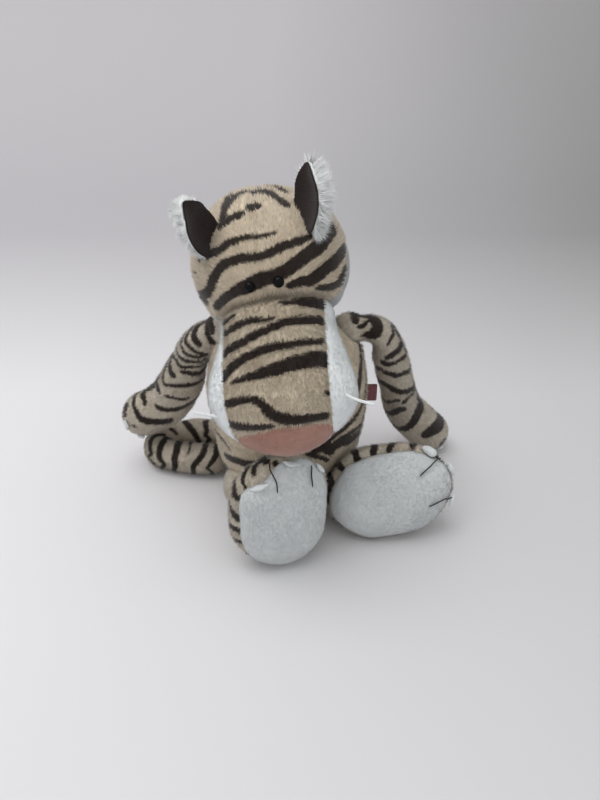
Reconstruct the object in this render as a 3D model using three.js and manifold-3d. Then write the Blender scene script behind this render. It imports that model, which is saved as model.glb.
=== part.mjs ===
// A seated plush tiger with a slumped head, filled limbs, sewn paws and a folded tail.
// Millimetres, +Z up. The origin is on the floor under the middle of the seat.
// The toy faces -Y. Its own left side is +X.
import * as THREE from 'three';
import { mergeVertices } from 'three/addons/utils/BufferGeometryUtils.js';
import Module from 'manifold-3d';

const wasm = await Module();
wasm.setup();

const up = new THREE.Vector3(0, 0, 1);
const leftward = new THREE.Vector3(1, 0, 0);
const forward = new THREE.Vector3(0, -1, 0);
const halfTurn = Math.PI;

// Clearances and cloth
const gap = 0.3;
const skinWall = 2.2;
const floorFlat = 0.5;
const overrun = 6;
const reach = 600;
const hipRoom = 4;

// Body, a pear of filling with a flat seat
const bodyHeight = 142;
const bodyHalfWidth = 58;
const bodyHalfFront = 44;
const bodyHalfBack = 42;
const bodyBaseCap = 34;
const bodyTopCap = 26;
const bodyLean = 16;
const seatSink = 7;
const bodySections = [
  { sideShare: 0.76, frontShare: 0.84, backShare: 0.86 },
  { sideShare: 0.83, frontShare: 0.95, backShare: 0.96 },
  { sideShare: 0.94, frontShare: 1.00, backShare: 1.00 },
  { sideShare: 1.00, frontShare: 0.96, backShare: 0.98 },
  { sideShare: 0.94, frontShare: 0.80, backShare: 0.86 },
  { sideShare: 0.72, frontShare: 0.56, backShare: 0.66 },
];
const pelletBagHalfWidth = 34;
const pelletBagHalfDepth = 28;
const pelletBagHeight = 26;

// Neck, a ball of filling in a sewn collar
const neckBall = 23;
const neckSink = 3;
const neckAside = 4;
const neckAhead = 4;
const neckCollarHalf = 13;

// Head, a round dome with a long barrel muzzle; sizes along its own axes
const domeHalfWidth = 49;
const domeHalfLength = 48;
const domeHalfHeight = 47;
const muzzleLength = 113;
const muzzleStart = 6;
const muzzleHalfWidth = 46;
const muzzleHalfTop = 37;
const muzzleHalfUnder = 31;
const muzzleDrop = 1;
const muzzleShift = 1.5;
const muzzleTurn = -3.7;
const muzzleCap = 34;
const muzzleSections = [
  { sideShare: 0.72, frontShare: 0.95, backShare: 0.92 },
  { sideShare: 0.80, frontShare: 1.00, backShare: 1.00 },
  { sideShare: 1.00, frontShare: 1.00, backShare: 1.00 },
  { sideShare: 0.85, frontShare: 0.88, backShare: 0.92 },
];
const headPitch = 49;
const headRoll = -17;
const headYaw = 12;
const headRise = 43;
const headAhead = 18;
const headAside = -9;

// Seams of the head, along its own axes
const muzzleSeam = 31.5;
const bandHalfWidth = 30;
const noseSeam = 104;
const noseTaperStart = 96;
const noseTaper = 6;
const noseLow = 4;
const gussetHigh = 6;
const gussetBack = 6;

// Eyes, glossy beads on a shank with a washer inside
const eyeRadius = 3.2;
const eyeSpread = 8.2;
const eyeForward = 25;
const shankRadius = 1.1;
const shankLength = 6.5;
const beadSteps = 4;
const washerRadius = 4.6;
const washerThick = 1.2;
const washerDeep = 1.4;

// Ears, a dark front and a furry back sewn together
const earLength = 33;
const earFrontHalfWidth = 11;
const earBackHalfWidth = 13;
const earFrontThick = 2.6;
const earBackThick = 7;
const earCup = 4;
const earCurl = 3;
const earSpread = 29;
const earBehind = 6;
const earSections = [
  { sideShare: 0.72, frontShare: 1.0, backShare: 1.0 },
  { sideShare: 1.00, frontShare: 1.0, backShare: 1.0 },
  { sideShare: 0.86, frontShare: 1.0, backShare: 1.0 },
  { sideShare: 0.42, frontShare: 0.7, backShare: 0.7 },
];

// Whiskers, one waxed cord on each cheek; they root at different places
const whiskerThick = 1.8;
const whiskerSink = 9;
const whiskerRight = { aside: 40, ahead: 91, high: 13, length: 16 };
const whiskerLeft = { aside: 35, ahead: 89, high: 17.5, length: 18 };
const whiskerShares = {
  right: new THREE.Vector3(-0.93, 0.30, 0.32),
  left: new THREE.Vector3(0.93, -0.60, 0.26),
};

// Arms
const armBall = 14.5;
const pawRadius = 17.5;
const shoulderDrop = 16;
const shoulderSink = 6;
const shoulderBack = 12;
const armReachRight = 128;
const armReachLeft = 127;
const armBackRight = 26;
const armBackLeft = 50;
const armShares = {
  right: [
    { out: 0.49, back: 0.54, high: 0.86 },
    { out: 0.57, back: 0.73, high: 0.62 },
    { out: 0.63, back: 0.92, high: 0.35 },
    { out: 0.75, back: 1.00, high: 0.13 },
    { out: 1.00, back: 0.73, high: 0.00 },
  ],
  left: [
    { out: 0.49, back: 0.22, high: 0.98 },
    { out: 0.58, back: 0.28, high: 0.82 },
    { out: 0.64, back: 0.46, high: 0.55 },
    { out: 0.74, back: 0.76, high: 0.23 },
    { out: 1.00, back: 1.00, high: -0.11 },
  ],
};
const armSections = [
  { sideShare: 0.76, frontShare: 0.76, backShare: 0.76 },
  { sideShare: 0.74, frontShare: 0.74, backShare: 0.74 },
  { sideShare: 0.79, frontShare: 0.79, backShare: 0.79 },
  { sideShare: 0.94, frontShare: 0.94, backShare: 0.94 },
  { sideShare: 1.00, frontShare: 1.00, backShare: 1.00 },
];

// Legs and feet
const legBall = 18;
const legRadius = 16;
const hipOut = 26;
const hipForward = 31;
const footLength = 88;
const footHalfWidth = 32;
const solePuff = 17;
const instep = 20;
const soleSeam = 2.5;
const footCap = 30;
const ankleShare = 0.3;
const heelRight = { aside: -4, ahead: 85 };
const heelLeft = { aside: 27, ahead: 56, high: 23.3 };
const footSections = [
  { sideShare: 0.86, frontShare: 1.00, backShare: 1.00 },
  { sideShare: 0.96, frontShare: 1.00, backShare: 1.00 },
  { sideShare: 1.00, frontShare: 1.00, backShare: 0.80 },
  { sideShare: 0.92, frontShare: 0.90, backShare: 0.62 },
];

// Claws, small tufts on the tips of paws and toes
const clawHalfLength = 5.2;
const clawHalfWidth = 3.4;
const clawSpread = 50;
const toeClawLift = { right: 26, left: 12 };
const clawsPerPaw = 3;

// Tail
const tailRadius = 13;
const tailBall = 13.5;
const tailOut = 30;
const tailBack = 30;
const tailReach = 103;
const tailDeep = 46;
const tailShares = [
  { out: 0.505, back: 0.935, high: 0 },
  { out: 0.796, back: 1.000, high: 0 },
  { out: 1.000, back: 0.804, high: 0 },
  { out: 1.000, back: 0.478, high: 0 },
  { out: 0.835, back: 0.326, high: 0 },
  { out: 0.466, back: 0.239, high: 0 },
];

// Side label, a plain folded loop of ribbon
const labelOut = 8;
const labelTall = 13;
const labelThick = 0.7;
const labelFold = 1.1;
const labelHeightShare = 0.507;
const labelBack = 16;

// Facets
const bodyFacets = { around: 18, along: 8 };
const headFacets = { around: 18, along: 8 };
const limbFacets = { around: 9, along: 8 };
const footFacets = { around: 12, along: 6 };
const tailFacets = { around: 8, along: 12 };
const earFacets = { around: 10, along: 6 };
const bagFacets = { around: 10, along: 6 };
const ballRings = 6;
const tuftFacets = { around: 6, along: 3 };
const roundFacets = 8;
const cordSides = 8;
const cordSteps = 5;

// Colours of the cloths and trim
const cloths = {
  stripedPile: { color: 0xb9aa95, roughness: 0.95, metalness: 0 },
  whitePile: { color: 0xe6e8ea, roughness: 0.95, metalness: 0 },
  pinkPile: { color: 0xbd8878, roughness: 0.95, metalness: 0 },
  darkKnit: { color: 0x32232a, roughness: 0.95, metalness: 0 },
  whiteFur: { color: 0xeef0f2, roughness: 1, metalness: 0 },
  blackBead: { color: 0x0c0b0b, roughness: 0.12, metalness: 0 },
  whiteCord: { color: 0xe9ebec, roughness: 0.7, metalness: 0 },
  darkRibbon: { color: 0x552b31, roughness: 0.6, metalness: 0 },
  fibreFill: { color: 0xf1f1ee, roughness: 1, metalness: 0 },
  pelletCloth: { color: 0xd9d4c8, roughness: 0.9, metalness: 0 },
  clearNylon: { color: 0xd8d8d4, roughness: 0.4, metalness: 0 },
};

// A closed three.js geometry as a solid
function solidOf(geometry) {
  const bare = geometry.clone();
  bare.deleteAttribute('normal');
  bare.deleteAttribute('uv');
  const merged = mergeVertices(bare);
  return new wasm.Manifold(new wasm.Mesh({
    numProp: 3,
    vertProperties: merged.getAttribute('position').array,
    triVerts: Uint32Array.from(merged.getIndex().array),
  }));
}

function geometryOf(solid) {
  const mesh = solid.getMesh();
  const geometry = new THREE.BufferGeometry();
  geometry.setAttribute('position', new THREE.BufferAttribute(Float32Array.from(mesh.vertProperties), 3));
  geometry.setIndex(new THREE.BufferAttribute(Uint32Array.from(mesh.triVerts), 1));
  geometry.computeVertexNormals();
  return geometry;
}

// Everything on one side of a plane, as a block wider than the toy
function beyond(point, direction) {
  const block = new THREE.BoxGeometry(reach, reach, reach);
  block.translate(0, 0, reach / 2);
  const turn = new THREE.Quaternion().setFromUnitVectors(up, direction.clone().normalize());
  block.applyQuaternion(turn);
  block.translate(point.x, point.y, point.z);
  return solidOf(block);
}

function keep(solid, point, direction) {
  return solid.intersect(beyond(point, direction));
}

// A ball with its facets round its hinge. A socket of the same count, one gap larger,
// then clears the ball at every angle.
function ballAt(place, radius, axis, count) {
  const ball = new THREE.SphereGeometry(radius, count, ballRings);
  ball.applyQuaternion(new THREE.Quaternion().setFromUnitVectors(new THREE.Vector3(0, 1, 0), axis));
  ball.translate(place.x, place.y, place.z);
  return solidOf(ball);
}

function facetsRound(radius) {
  return 2 * Math.ceil(halfTurn / Math.acos(radius / (radius + gap)) / 2);
}

function rootBall(root, inset = 0) {
  return ballAt(root.place, root.radius - inset, root.axis, facetsRound(root.radius));
}

function socketFor(root) {
  return rootBall(root, -gap);
}

// A round bar from one place to another
function barBetween(start, end, radius) {
  const span = end.clone().sub(start);
  const bar = new THREE.CylinderGeometry(radius, radius, span.length(), roundFacets);
  bar.translate(0, span.length() / 2, 0);
  bar.applyQuaternion(new THREE.Quaternion().setFromUnitVectors(
    new THREE.Vector3(0, 1, 0), span.clone().normalize()));
  bar.translate(start.x, start.y, start.z);
  return solidOf(bar);
}

// Half sizes along a stuffed form: to its sides, its front and its back
function sectionCurve(rows, side, front, back) {
  return new THREE.CatmullRomCurve3(rows.map((row) => new THREE.Vector3(
    side * row.sideShare, front * row.frontShare, back * row.backShare)));
}

// The same half sizes all the way
function evenSections(side, depth = side) {
  const whole = { sideShare: 1, frontShare: 1, backShare: 1 };
  return sectionCurve([whole, whole], side, depth, depth);
}

function roundEnd(distance, cap) {
  if (distance >= cap) return 1;
  return Math.sqrt(Math.max(0, 1 - (1 - distance / cap) ** 2));
}

// A stuffed form: a ball drawn out along a route, with its own half sizes all the way.
// An inset gives the same form smaller all round, and a negative one larger.
function stuffed(form, inset = 0) {
  const ball = new THREE.SphereGeometry(1, form.facets.around, form.facets.along);
  const spots = ball.getAttribute('position');
  const length = form.route.getLength();
  for (let i = 0; i < spots.count; i += 1) {
    const unit = new THREE.Vector3().fromBufferAttribute(spots, i);
    const distance = THREE.MathUtils.lerp(inset, length - inset, (1 - unit.y) / 2);
    const share = THREE.MathUtils.clamp(distance / length, 0, 1);
    const ahead = form.route.getTangentAt(share);
    const side = form.side.clone().addScaledVector(ahead, -form.side.dot(ahead)).normalize();
    const back = ahead.clone().cross(side);
    const half = form.sections.getPoint(share);
    const round = roundEnd(distance - inset, form.startCap - inset)
      * roundEnd(length - inset - distance, form.endCap - inset);
    const turn = Math.atan2(unit.z, unit.x);
    const across = Math.cos(turn) * (half.x - inset) * round;
    const depth = Math.sin(turn) < 0 ? half.y - inset : half.z - inset;
    const cup = (form.cup ?? 0) * Math.cos(turn) ** 2 * round ** 2;
    const spot = form.route.getPointAt(share)
      .addScaledVector(ahead, distance - share * length)
      .addScaledVector(side, across)
      .addScaledVector(back, Math.sin(turn) * Math.max(depth, 0) * round - cup)
      .addScaledVector(back, form.shift ?? 0);
    spots.setXYZ(i, spot.x, spot.y, spot.z);
  }
  return solidOf(ball);
}

// A closed skin around an inner space
function skinOf(solidAt) {
  return solidAt(0).subtract(solidAt(skinWall));
}

function fillingOf(solidAt) {
  return solidAt(skinWall + gap);
}

// What stands on the floor is pressed flat there
function pressedFlat(solid, inset = 0) {
  return keep(solid, new THREE.Vector3(0, 0, inset), up);
}

const tiger = new THREE.Group();

// A cut may leave a loose sliver beside the piece; only the piece is kept
function mainBody(solid) {
  return solid.decompose().reduce((most, body) => (body.volume() > most.volume() ? body : most));
}

function addPiece(parent, name, solid, cloth) {
  const mesh = new THREE.Mesh(geometryOf(mainBody(solid)), new THREE.MeshStandardMaterial(cloths[cloth]));
  mesh.name = name;
  parent.add(mesh);
  return mesh;
}

// Body
const bodyForm = {
  route: new THREE.CatmullRomCurve3([
    new THREE.Vector3(0, 0, -seatSink),
    new THREE.Vector3(0, -bodyLean / 4, bodyHeight / 3),
    new THREE.Vector3(0, bodyLean / 4, bodyHeight * 2 / 3),
    new THREE.Vector3(0, bodyLean, bodyHeight),
  ]),
  sections: sectionCurve(bodySections, bodyHalfWidth, bodyHalfFront, bodyHalfBack),
  side: leftward,
  startCap: bodyBaseCap,
  endCap: bodyTopCap,
  facets: bodyFacets,
};

function bodySolid(inset = 0) {
  return pressedFlat(stuffed(bodyForm, inset), Math.max(inset, 0));
}

// The place on the body's surface at a height, towards a direction in plan
function onBody(height, direction) {
  const share = (height + seatSink) / (bodyHeight + seatSink);
  const half = bodyForm.sections.getPoint(share);
  const centre = bodyForm.route.getPointAt(share);
  const depth = direction.y < 0 ? half.y : half.z;
  const radius = 1 / Math.hypot(direction.x / half.x, direction.y / depth);
  return new THREE.Vector3(centre.x + direction.x * radius, centre.y + direction.y * radius, height);
}

// Where each limb is sewn to the body
const shoulderHeight = bodyHeight - shoulderDrop;
const shoulderX = onBody(shoulderHeight, leftward).x - shoulderSink;
const tailRoot = new THREE.Vector3(-tailOut, tailBack, tailBall);
const neckPivot = new THREE.Vector3(-neckAside, bodyLean - neckAhead, bodyHeight - neckSink);

const neckTurn = { place: neckPivot, radius: neckBall, axis: up };
const neckNod = { place: neckPivot, radius: neckBall, axis: leftward };
const tailSwing = { place: tailRoot, radius: tailBall, axis: up };

function shoulder(hand) {
  const place = new THREE.Vector3(hand * shoulderX, shoulderBack, shoulderHeight);
  return { place, radius: armBall, axis: forward };
}

function hip(hand) {
  const place = new THREE.Vector3(hand * hipOut, -hipForward, legBall + gap);
  return { place, radius: legBall, axis: up };
}

// Head frame
const headGroup = new THREE.Group();
headGroup.position.set(headAside, -headAhead, bodyHeight + headRise);
headGroup.rotation.set(
  THREE.MathUtils.degToRad(headPitch),
  THREE.MathUtils.degToRad(headRoll),
  THREE.MathUtils.degToRad(headYaw),
  'ZXY',
);
headGroup.updateMatrixWorld(true);
tiger.add(headGroup);

const neckInHead = {
  place: headGroup.worldToLocal(neckPivot.clone()),
  radius: neckBall,
  axis: leftward.clone().applyQuaternion(headGroup.quaternion.clone().invert()),
};

// The muzzle is bent a little towards its right
const muzzleAngle = THREE.MathUtils.degToRad(muzzleTurn);
const muzzleAhead = forward.clone().applyAxisAngle(up, muzzleAngle);
const muzzleSide = leftward.clone().applyAxisAngle(up, muzzleAngle);
const muzzleRoot = new THREE.Vector3(muzzleShift, -muzzleStart, -muzzleDrop);

const muzzleForm = {
  route: new THREE.LineCurve3(muzzleRoot, muzzleRoot.clone().addScaledVector(muzzleAhead, muzzleLength)),
  sections: sectionCurve(muzzleSections, muzzleHalfWidth, muzzleHalfUnder, muzzleHalfTop),
  side: leftward,
  startCap: muzzleCap,
  endCap: muzzleCap,
  facets: headFacets,
};

function headSolid(inset = 0) {
  const dome = new THREE.SphereGeometry(1, headFacets.around, headFacets.along);
  dome.rotateX(halfTurn / 2);
  dome.scale(domeHalfWidth - inset, domeHalfLength - inset, domeHalfHeight - inset);
  return solidOf(dome).add(stuffed(muzzleForm, inset));
}

// The outward direction and the place of an eye on the dome
function eyeSeat(hand) {
  const x = hand * eyeSpread;
  const flat = (x / domeHalfWidth) ** 2 + (eyeForward / domeHalfLength) ** 2;
  const z = domeHalfHeight * Math.sqrt(1 - flat);
  const place = new THREE.Vector3(x, -eyeForward, z);
  const outward = new THREE.Vector3(
    x / domeHalfWidth ** 2, -eyeForward / domeHalfLength ** 2, z / domeHalfHeight ** 2).normalize();
  return { place, outward };
}

function turned(geometry, seat, lift) {
  geometry.applyQuaternion(new THREE.Quaternion().setFromUnitVectors(
    new THREE.Vector3(0, 1, 0), seat.outward));
  const spot = seat.place.clone().addScaledVector(seat.outward, lift);
  geometry.translate(spot.x, spot.y, spot.z);
  return geometry;
}

function eyeBead(seat) {
  const profile = [new THREE.Vector2(0, -shankLength), new THREE.Vector2(shankRadius, -shankLength),
    new THREE.Vector2(shankRadius, 0), new THREE.Vector2(eyeRadius, 0)];
  for (let i = 1; i <= beadSteps; i += 1) {
    const lift = (halfTurn / 2) * (i / beadSteps);
    const radius = i === beadSteps ? 0 : eyeRadius * Math.cos(lift);
    profile.push(new THREE.Vector2(radius, eyeRadius * Math.sin(lift)));
  }
  return solidOf(turned(new THREE.LatheGeometry(profile, roundFacets), seat, gap));
}

function eyeWasher(seat) {
  const bore = shankRadius + gap;
  const profile = [new THREE.Vector2(bore, 0), new THREE.Vector2(washerRadius, 0),
    new THREE.Vector2(washerRadius, washerThick), new THREE.Vector2(bore, washerThick),
    new THREE.Vector2(bore, 0)];
  return solidOf(turned(new THREE.LatheGeometry(profile, roundFacets), seat,
    -skinWall - washerDeep - washerThick));
}

function eyeHole(seat, radius, depth) {
  const inner = seat.place.clone().addScaledVector(seat.outward, -depth);
  const outer = seat.place.clone().addScaledVector(seat.outward, overrun);
  return barBetween(inner, outer, radius);
}

// The strip between the cheeks, which narrows around the nose
function bandSpace(extra) {
  const planes = [];
  for (const hand of [-1, 1]) {
    const inward = muzzleSide.clone().multiplyScalar(-hand);
    const edge = muzzleRoot.clone().addScaledVector(muzzleSide, hand * (bandHalfWidth + extra));
    const taper = inward.clone().applyAxisAngle(up, THREE.MathUtils.degToRad(-hand * noseTaper));
    const corner = edge.clone().addScaledVector(muzzleAhead, noseTaperStart - muzzleStart);
    planes.push([edge, inward], [corner, taper]);
  }
  return planes.slice(1).reduce((space, [point, direction]) => keep(space, point, direction),
    beyond(...planes[0]));
}

function makeHead() {
  const socket = socketFor(neckInHead);
  const seats = [eyeSeat(-1), eyeSeat(1)];
  const half = gap / 2;
  const at = (x, y, z) => new THREE.Vector3(x, y, z);
  const down = up.clone().negate();
  const rightward = leftward.clone().negate();
  const backward = forward.clone().negate();
  let skin = skinOf(headSolid).subtract(socket);
  for (const seat of seats) skin = skin.subtract(eyeHole(seat, shankRadius + gap, skinWall + overrun));

  const dome = keep(skin, at(0, -muzzleSeam + half, 0), backward);
  const crown = keep(dome, at(0, 0, gussetHigh + half), up);
  const lower = keep(dome, at(0, 0, gussetHigh - half), down);
  const jowls = keep(lower, at(0, gussetBack - half, 0), forward);
  addPiece(headGroup, 'right_crown', keep(crown, at(-half, 0, 0), rightward), 'stripedPile');
  addPiece(headGroup, 'left_crown', keep(crown, at(half, 0, 0), leftward), 'stripedPile');
  addPiece(headGroup, 'nape_panel', keep(lower, at(0, gussetBack + half, 0), backward), 'stripedPile');
  addPiece(headGroup, 'right_jowl', keep(jowls, at(-half, 0, 0), rightward), 'whitePile');
  addPiece(headGroup, 'left_jowl', keep(jowls, at(half, 0, 0), leftward), 'whitePile');

  const muzzle = keep(skin, at(0, -muzzleSeam - half, 0), forward);
  const middle = muzzle.intersect(bandSpace(-half));
  const cheeks = muzzle.subtract(bandSpace(half));
  const top = keep(middle, at(0, 0, -noseLow + half), up);
  addPiece(headGroup, 'muzzle_band', keep(top, at(0, -noseSeam + half, 0), backward), 'stripedPile');
  addPiece(headGroup, 'nose_patch', keep(top, at(0, -noseSeam - half, 0), forward), 'pinkPile');
  addPiece(headGroup, 'chin_panel', keep(middle, at(0, 0, -noseLow - half), down), 'whitePile');
  addPiece(headGroup, 'right_cheek', keep(cheeks, muzzleRoot, muzzleSide.clone().negate()), 'whitePile');
  addPiece(headGroup, 'left_cheek', keep(cheeks, muzzleRoot, muzzleSide), 'whitePile');

  let filling = fillingOf(headSolid).subtract(socket);
  for (const seat of seats) {
    const depth = skinWall + washerDeep + gap + washerThick;
    filling = filling.subtract(eyeHole(seat, washerRadius + gap, depth))
      .subtract(eyeHole(seat, shankRadius + gap, shankLength + gap));
  }
  addPiece(headGroup, 'head_filling', filling, 'fibreFill');
  seats.forEach((seat, i) => {
    const hand = i === 0 ? 'right' : 'left';
    addPiece(headGroup, `${hand}_eye`, eyeBead(seat), 'blackBead');
    addPiece(headGroup, `${hand}_eye_washer`, eyeWasher(seat), 'clearNylon');
  });
}

// Ears stand on the dome and lean back and outwards
const earLean = {
  right: new THREE.Vector3(0.01, 0.36, 0.93),
  left: new THREE.Vector3(0.21, 0.85, 0.47),
};
const earFacing = {
  right: new THREE.Vector3(0.90, -0.40, 0.14),
  left: new THREE.Vector3(-0.78, -0.15, 0.61),
};

function earForm(hand, name) {
  const x = hand * earSpread;
  const flat = (x / domeHalfWidth) ** 2 + (earBehind / domeHalfLength) ** 2;
  const foot = new THREE.Vector3(x, earBehind, domeHalfHeight * Math.sqrt(1 - flat));
  const lean = earLean[name].clone().normalize();
  const face = earFacing[name].clone().addScaledVector(lean, -earFacing[name].dot(lean)).normalize();
  const start = foot.clone().addScaledVector(lean, -overrun);
  const middle = foot.clone().addScaledVector(lean, earLength / 2).addScaledVector(face, -earCurl);
  const tip = foot.clone().addScaledVector(lean, earLength);
  return {
    route: new THREE.CatmullRomCurve3([start, middle, tip]),
    side: lean.clone().cross(face),
    startCap: earFrontHalfWidth / 2,
    endCap: earFrontHalfWidth,
    cup: earCup,
    facets: earFacets,
  };
}

function makeEar(hand, name) {
  const form = earForm(hand, name);
  const head = headSolid(-gap);
  const front = stuffed({
    ...form, shift: -gap / 2, sections: sectionCurve(earSections, earFrontHalfWidth, earFrontThick, 0),
  });
  const back = stuffed({
    ...form, shift: gap / 2, sections: sectionCurve(earSections, earBackHalfWidth, 0, earBackThick),
  });
  addPiece(headGroup, `${name}_ear_front`, front.subtract(head), 'darkKnit');
  addPiece(headGroup, `${name}_ear_back`, back.subtract(head), 'whiteFur');
}

function makeWhisker(hand, name) {
  const size = hand < 0 ? whiskerRight : whiskerLeft;
  const place = new THREE.Vector3(hand * size.aside, -size.ahead, size.high);
  const out = whiskerShares[name].clone().normalize();
  const root = place.clone().addScaledVector(out, -whiskerSink);
  const tip = place.clone().addScaledVector(out, size.length);
  const bow = root.clone().lerp(tip, 1 / 2).addScaledVector(up, whiskerThick / 2);
  const circle = new THREE.Shape();
  circle.absarc(0, 0, whiskerThick / 2, 0, halfTurn * 2);
  const cord = new THREE.ExtrudeGeometry(circle, {
    steps: cordSteps,
    curveSegments: cordSides / 2,
    extrudePath: new THREE.CatmullRomCurve3([root, bow, tip]),
  });
  addPiece(headGroup, `${name}_whisker`, solidOf(cord).subtract(headSolid(-gap)), 'whiteCord');
}

// Arms hang from the shoulders; the right paw lies on the tail and the left one on the floor.
// Their ways out, back and up are shares of the three spans.
function routeOf(start, shares, spans) {
  const spots = shares.map(({ out, back, high }) => new THREE.Vector3(
    spans.out * out, spans.back * back, spans.low + (spans.high - spans.low) * high));
  return new THREE.CatmullRomCurve3([start, ...spots]);
}

function armForm(hand, name) {
  const onFloor = pawRadius - floorFlat;
  const onTail = tailRadius * 2 + gap + onFloor;
  const spans = hand < 0
    ? { out: -armReachRight, back: armBackRight, high: shoulderHeight, low: onTail }
    : { out: armReachLeft, back: armBackLeft, high: shoulderHeight, low: onFloor };
  return {
    route: routeOf(shoulder(hand).place, armShares[name], spans),
    sections: sectionCurve(armSections, pawRadius, pawRadius, pawRadius),
    side: forward,
    startCap: armBall,
    endCap: pawRadius,
    facets: limbFacets,
  };
}

function limbSolid(form, root, inset, room = gap) {
  return stuffed(form, inset)
    .subtract(bodySolid(-room - inset))
    .add(rootBall(root, inset));
}

// The sewn root stays open towards the body, where the filling is pushed in
function openRoot(skin, root) {
  const middle = new THREE.Vector3(0, 0, root.place.z);
  const inner = middle.sub(root.place).setLength(root.radius + overrun).add(root.place);
  return skin.subtract(barBetween(root.place, inner, root.radius / 2));
}

function makeArm(hand, name) {
  const form = armForm(hand, name);
  const root = shoulder(hand);
  const solidAt = (inset) => pressedFlat(limbSolid(form, root, inset), Math.max(inset, 0));
  addPiece(tiger, `${name}_arm_skin`, openRoot(skinOf(solidAt), root), 'stripedPile');
  addPiece(tiger, `${name}_arm_filling`, fillingOf(solidAt), 'fibreFill');
  makeClaws(name, 'paw', form, { halfWidth: pawRadius, depth: pawRadius, lift: 0 });
}

// Three tufts spread over the round end of a paw or a foot, half of each sunk in the pile
function makeClaws(name, where, form, seat) {
  const length = form.route.getLength();
  const core = form.route.getPointAt(1 - form.endCap / length);
  const ahead = form.route.getTangentAt(1);
  const side = form.side.clone().addScaledVector(ahead, -form.side.dot(ahead)).normalize();
  const front = side.clone().cross(ahead);
  const lift = THREE.MathUtils.degToRad(seat.lift);
  const grown = stuffed(form, -gap);
  for (let i = 0; i < clawsPerPaw; i += 1) {
    const turn = THREE.MathUtils.degToRad(((i / (clawsPerPaw - 1)) * 2 - 1) * clawSpread);
    const outward = new THREE.Vector3()
      .addScaledVector(ahead, form.endCap * Math.cos(turn) * Math.cos(lift))
      .addScaledVector(side, seat.halfWidth * Math.sin(turn) * Math.cos(lift))
      .addScaledVector(front, seat.depth * Math.sin(lift));
    const spot = core.clone().add(outward);
    const tuft = new THREE.SphereGeometry(1, tuftFacets.around, tuftFacets.along);
    tuft.scale(clawHalfWidth, clawHalfLength, clawHalfWidth);
    tuft.applyQuaternion(new THREE.Quaternion().setFromUnitVectors(
      new THREE.Vector3(0, 1, 0), outward.clone().normalize()));
    tuft.translate(spot.x, spot.y, spot.z);
    addPiece(tiger, `${name}_${where}_claw_${i + 1}`, solidOf(tuft).subtract(grown), 'whiteFur');
  }
}

// Feet: where the heel rests, where the toes point and where the sole faces
const footPlaces = {
  right: {
    heel: new THREE.Vector3(heelRight.aside, -heelRight.ahead, -floorFlat),
    toes: new THREE.Vector3(0.03, 0.02, 1),
    sole: new THREE.Vector3(0.33, -0.93, 0.12),
  },
  left: {
    heel: new THREE.Vector3(heelLeft.aside, -heelLeft.ahead, heelLeft.high),
    toes: new THREE.Vector3(0.97, 0.10, 0.17),
    sole: new THREE.Vector3(0.02, -0.93, 0.36),
  },
};

function footForm(name) {
  const place = footPlaces[name];
  const toes = place.toes.clone().normalize();
  const sole = place.sole.clone().addScaledVector(toes, -place.sole.dot(toes)).normalize();
  const tip = place.heel.clone().addScaledVector(toes, footLength);
  return {
    route: new THREE.LineCurve3(place.heel, tip),
    sections: sectionCurve(footSections, footHalfWidth, solePuff, instep),
    side: sole.clone().negate().cross(toes),
    sole,
    startCap: footCap,
    endCap: footCap,
    facets: footFacets,
  };
}

function makeLeg(hand, name) {
  const foot = footForm(name);
  const root = hip(hand);
  const ankle = foot.route.getPointAt(ankleShare).addScaledVector(foot.sole, -legRadius / 2);
  const leg = {
    route: new THREE.LineCurve3(root.place, ankle),
    sections: evenSections(legRadius),
    side: up,
    startCap: legRadius,
    endCap: legRadius,
    facets: limbFacets,
  };
  const solidAt = (inset) => pressedFlat(
    stuffed(foot, inset).add(limbSolid(leg, root, inset, hipRoom)), Math.max(inset, 0));
  const skin = openRoot(skinOf(solidAt), root);
  const seam = foot.route.getPointAt(1 / 2).addScaledVector(foot.sole, soleSeam);
  const behind = seam.clone().addScaledVector(foot.sole, -gap / 2);
  const before = seam.clone().addScaledVector(foot.sole, gap / 2);
  addPiece(tiger, `${name}_leg_skin`, keep(skin, behind, foot.sole.clone().negate()), 'stripedPile');
  addPiece(tiger, `${name}_sole`, keep(skin, before, foot.sole), 'whitePile');
  addPiece(tiger, `${name}_leg_filling`, fillingOf(solidAt), 'fibreFill');
  makeClaws(name, 'foot', foot, { halfWidth: footHalfWidth, depth: solePuff, lift: toeClawLift[name] });
}

// Tail, folded forward beside the body
const tailSpans = {
  out: -tailReach, back: tailDeep, high: tailRadius - floorFlat, low: tailRadius - floorFlat,
};
const tailForm = {
  route: routeOf(tailRoot, tailShares, tailSpans),
  sections: evenSections(tailRadius),
  side: up,
  startCap: tailRadius,
  endCap: tailRadius,
  facets: tailFacets,
};

function makeTail() {
  const solidAt = (inset) => pressedFlat(limbSolid(tailForm, tailSwing, inset), Math.max(inset, 0));
  addPiece(tiger, 'tail_skin', openRoot(skinOf(solidAt), tailSwing), 'stripedPile');
  addPiece(tiger, 'tail_filling', fillingOf(solidAt), 'fibreFill');
}

// The collar has both sets of facets: it turns in the body and the head nods on it
function makeNeck() {
  const towards = headGroup.position.clone().sub(neckPivot).normalize();
  const outer = rootBall(neckTurn).intersect(rootBall(neckNod));
  const ring = outer.subtract(rootBall(neckTurn, skinWall));
  const high = neckPivot.clone().addScaledVector(towards, neckCollarHalf);
  const low = neckPivot.clone().addScaledVector(towards, -neckCollarHalf);
  const collar = keep(keep(ring, high, towards.clone().negate()), low, towards);
  addPiece(tiger, 'neck_collar', collar, 'stripedPile');
  addPiece(tiger, 'neck_filling', rootBall(neckTurn, skinWall + gap), 'fibreFill');
}

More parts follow.
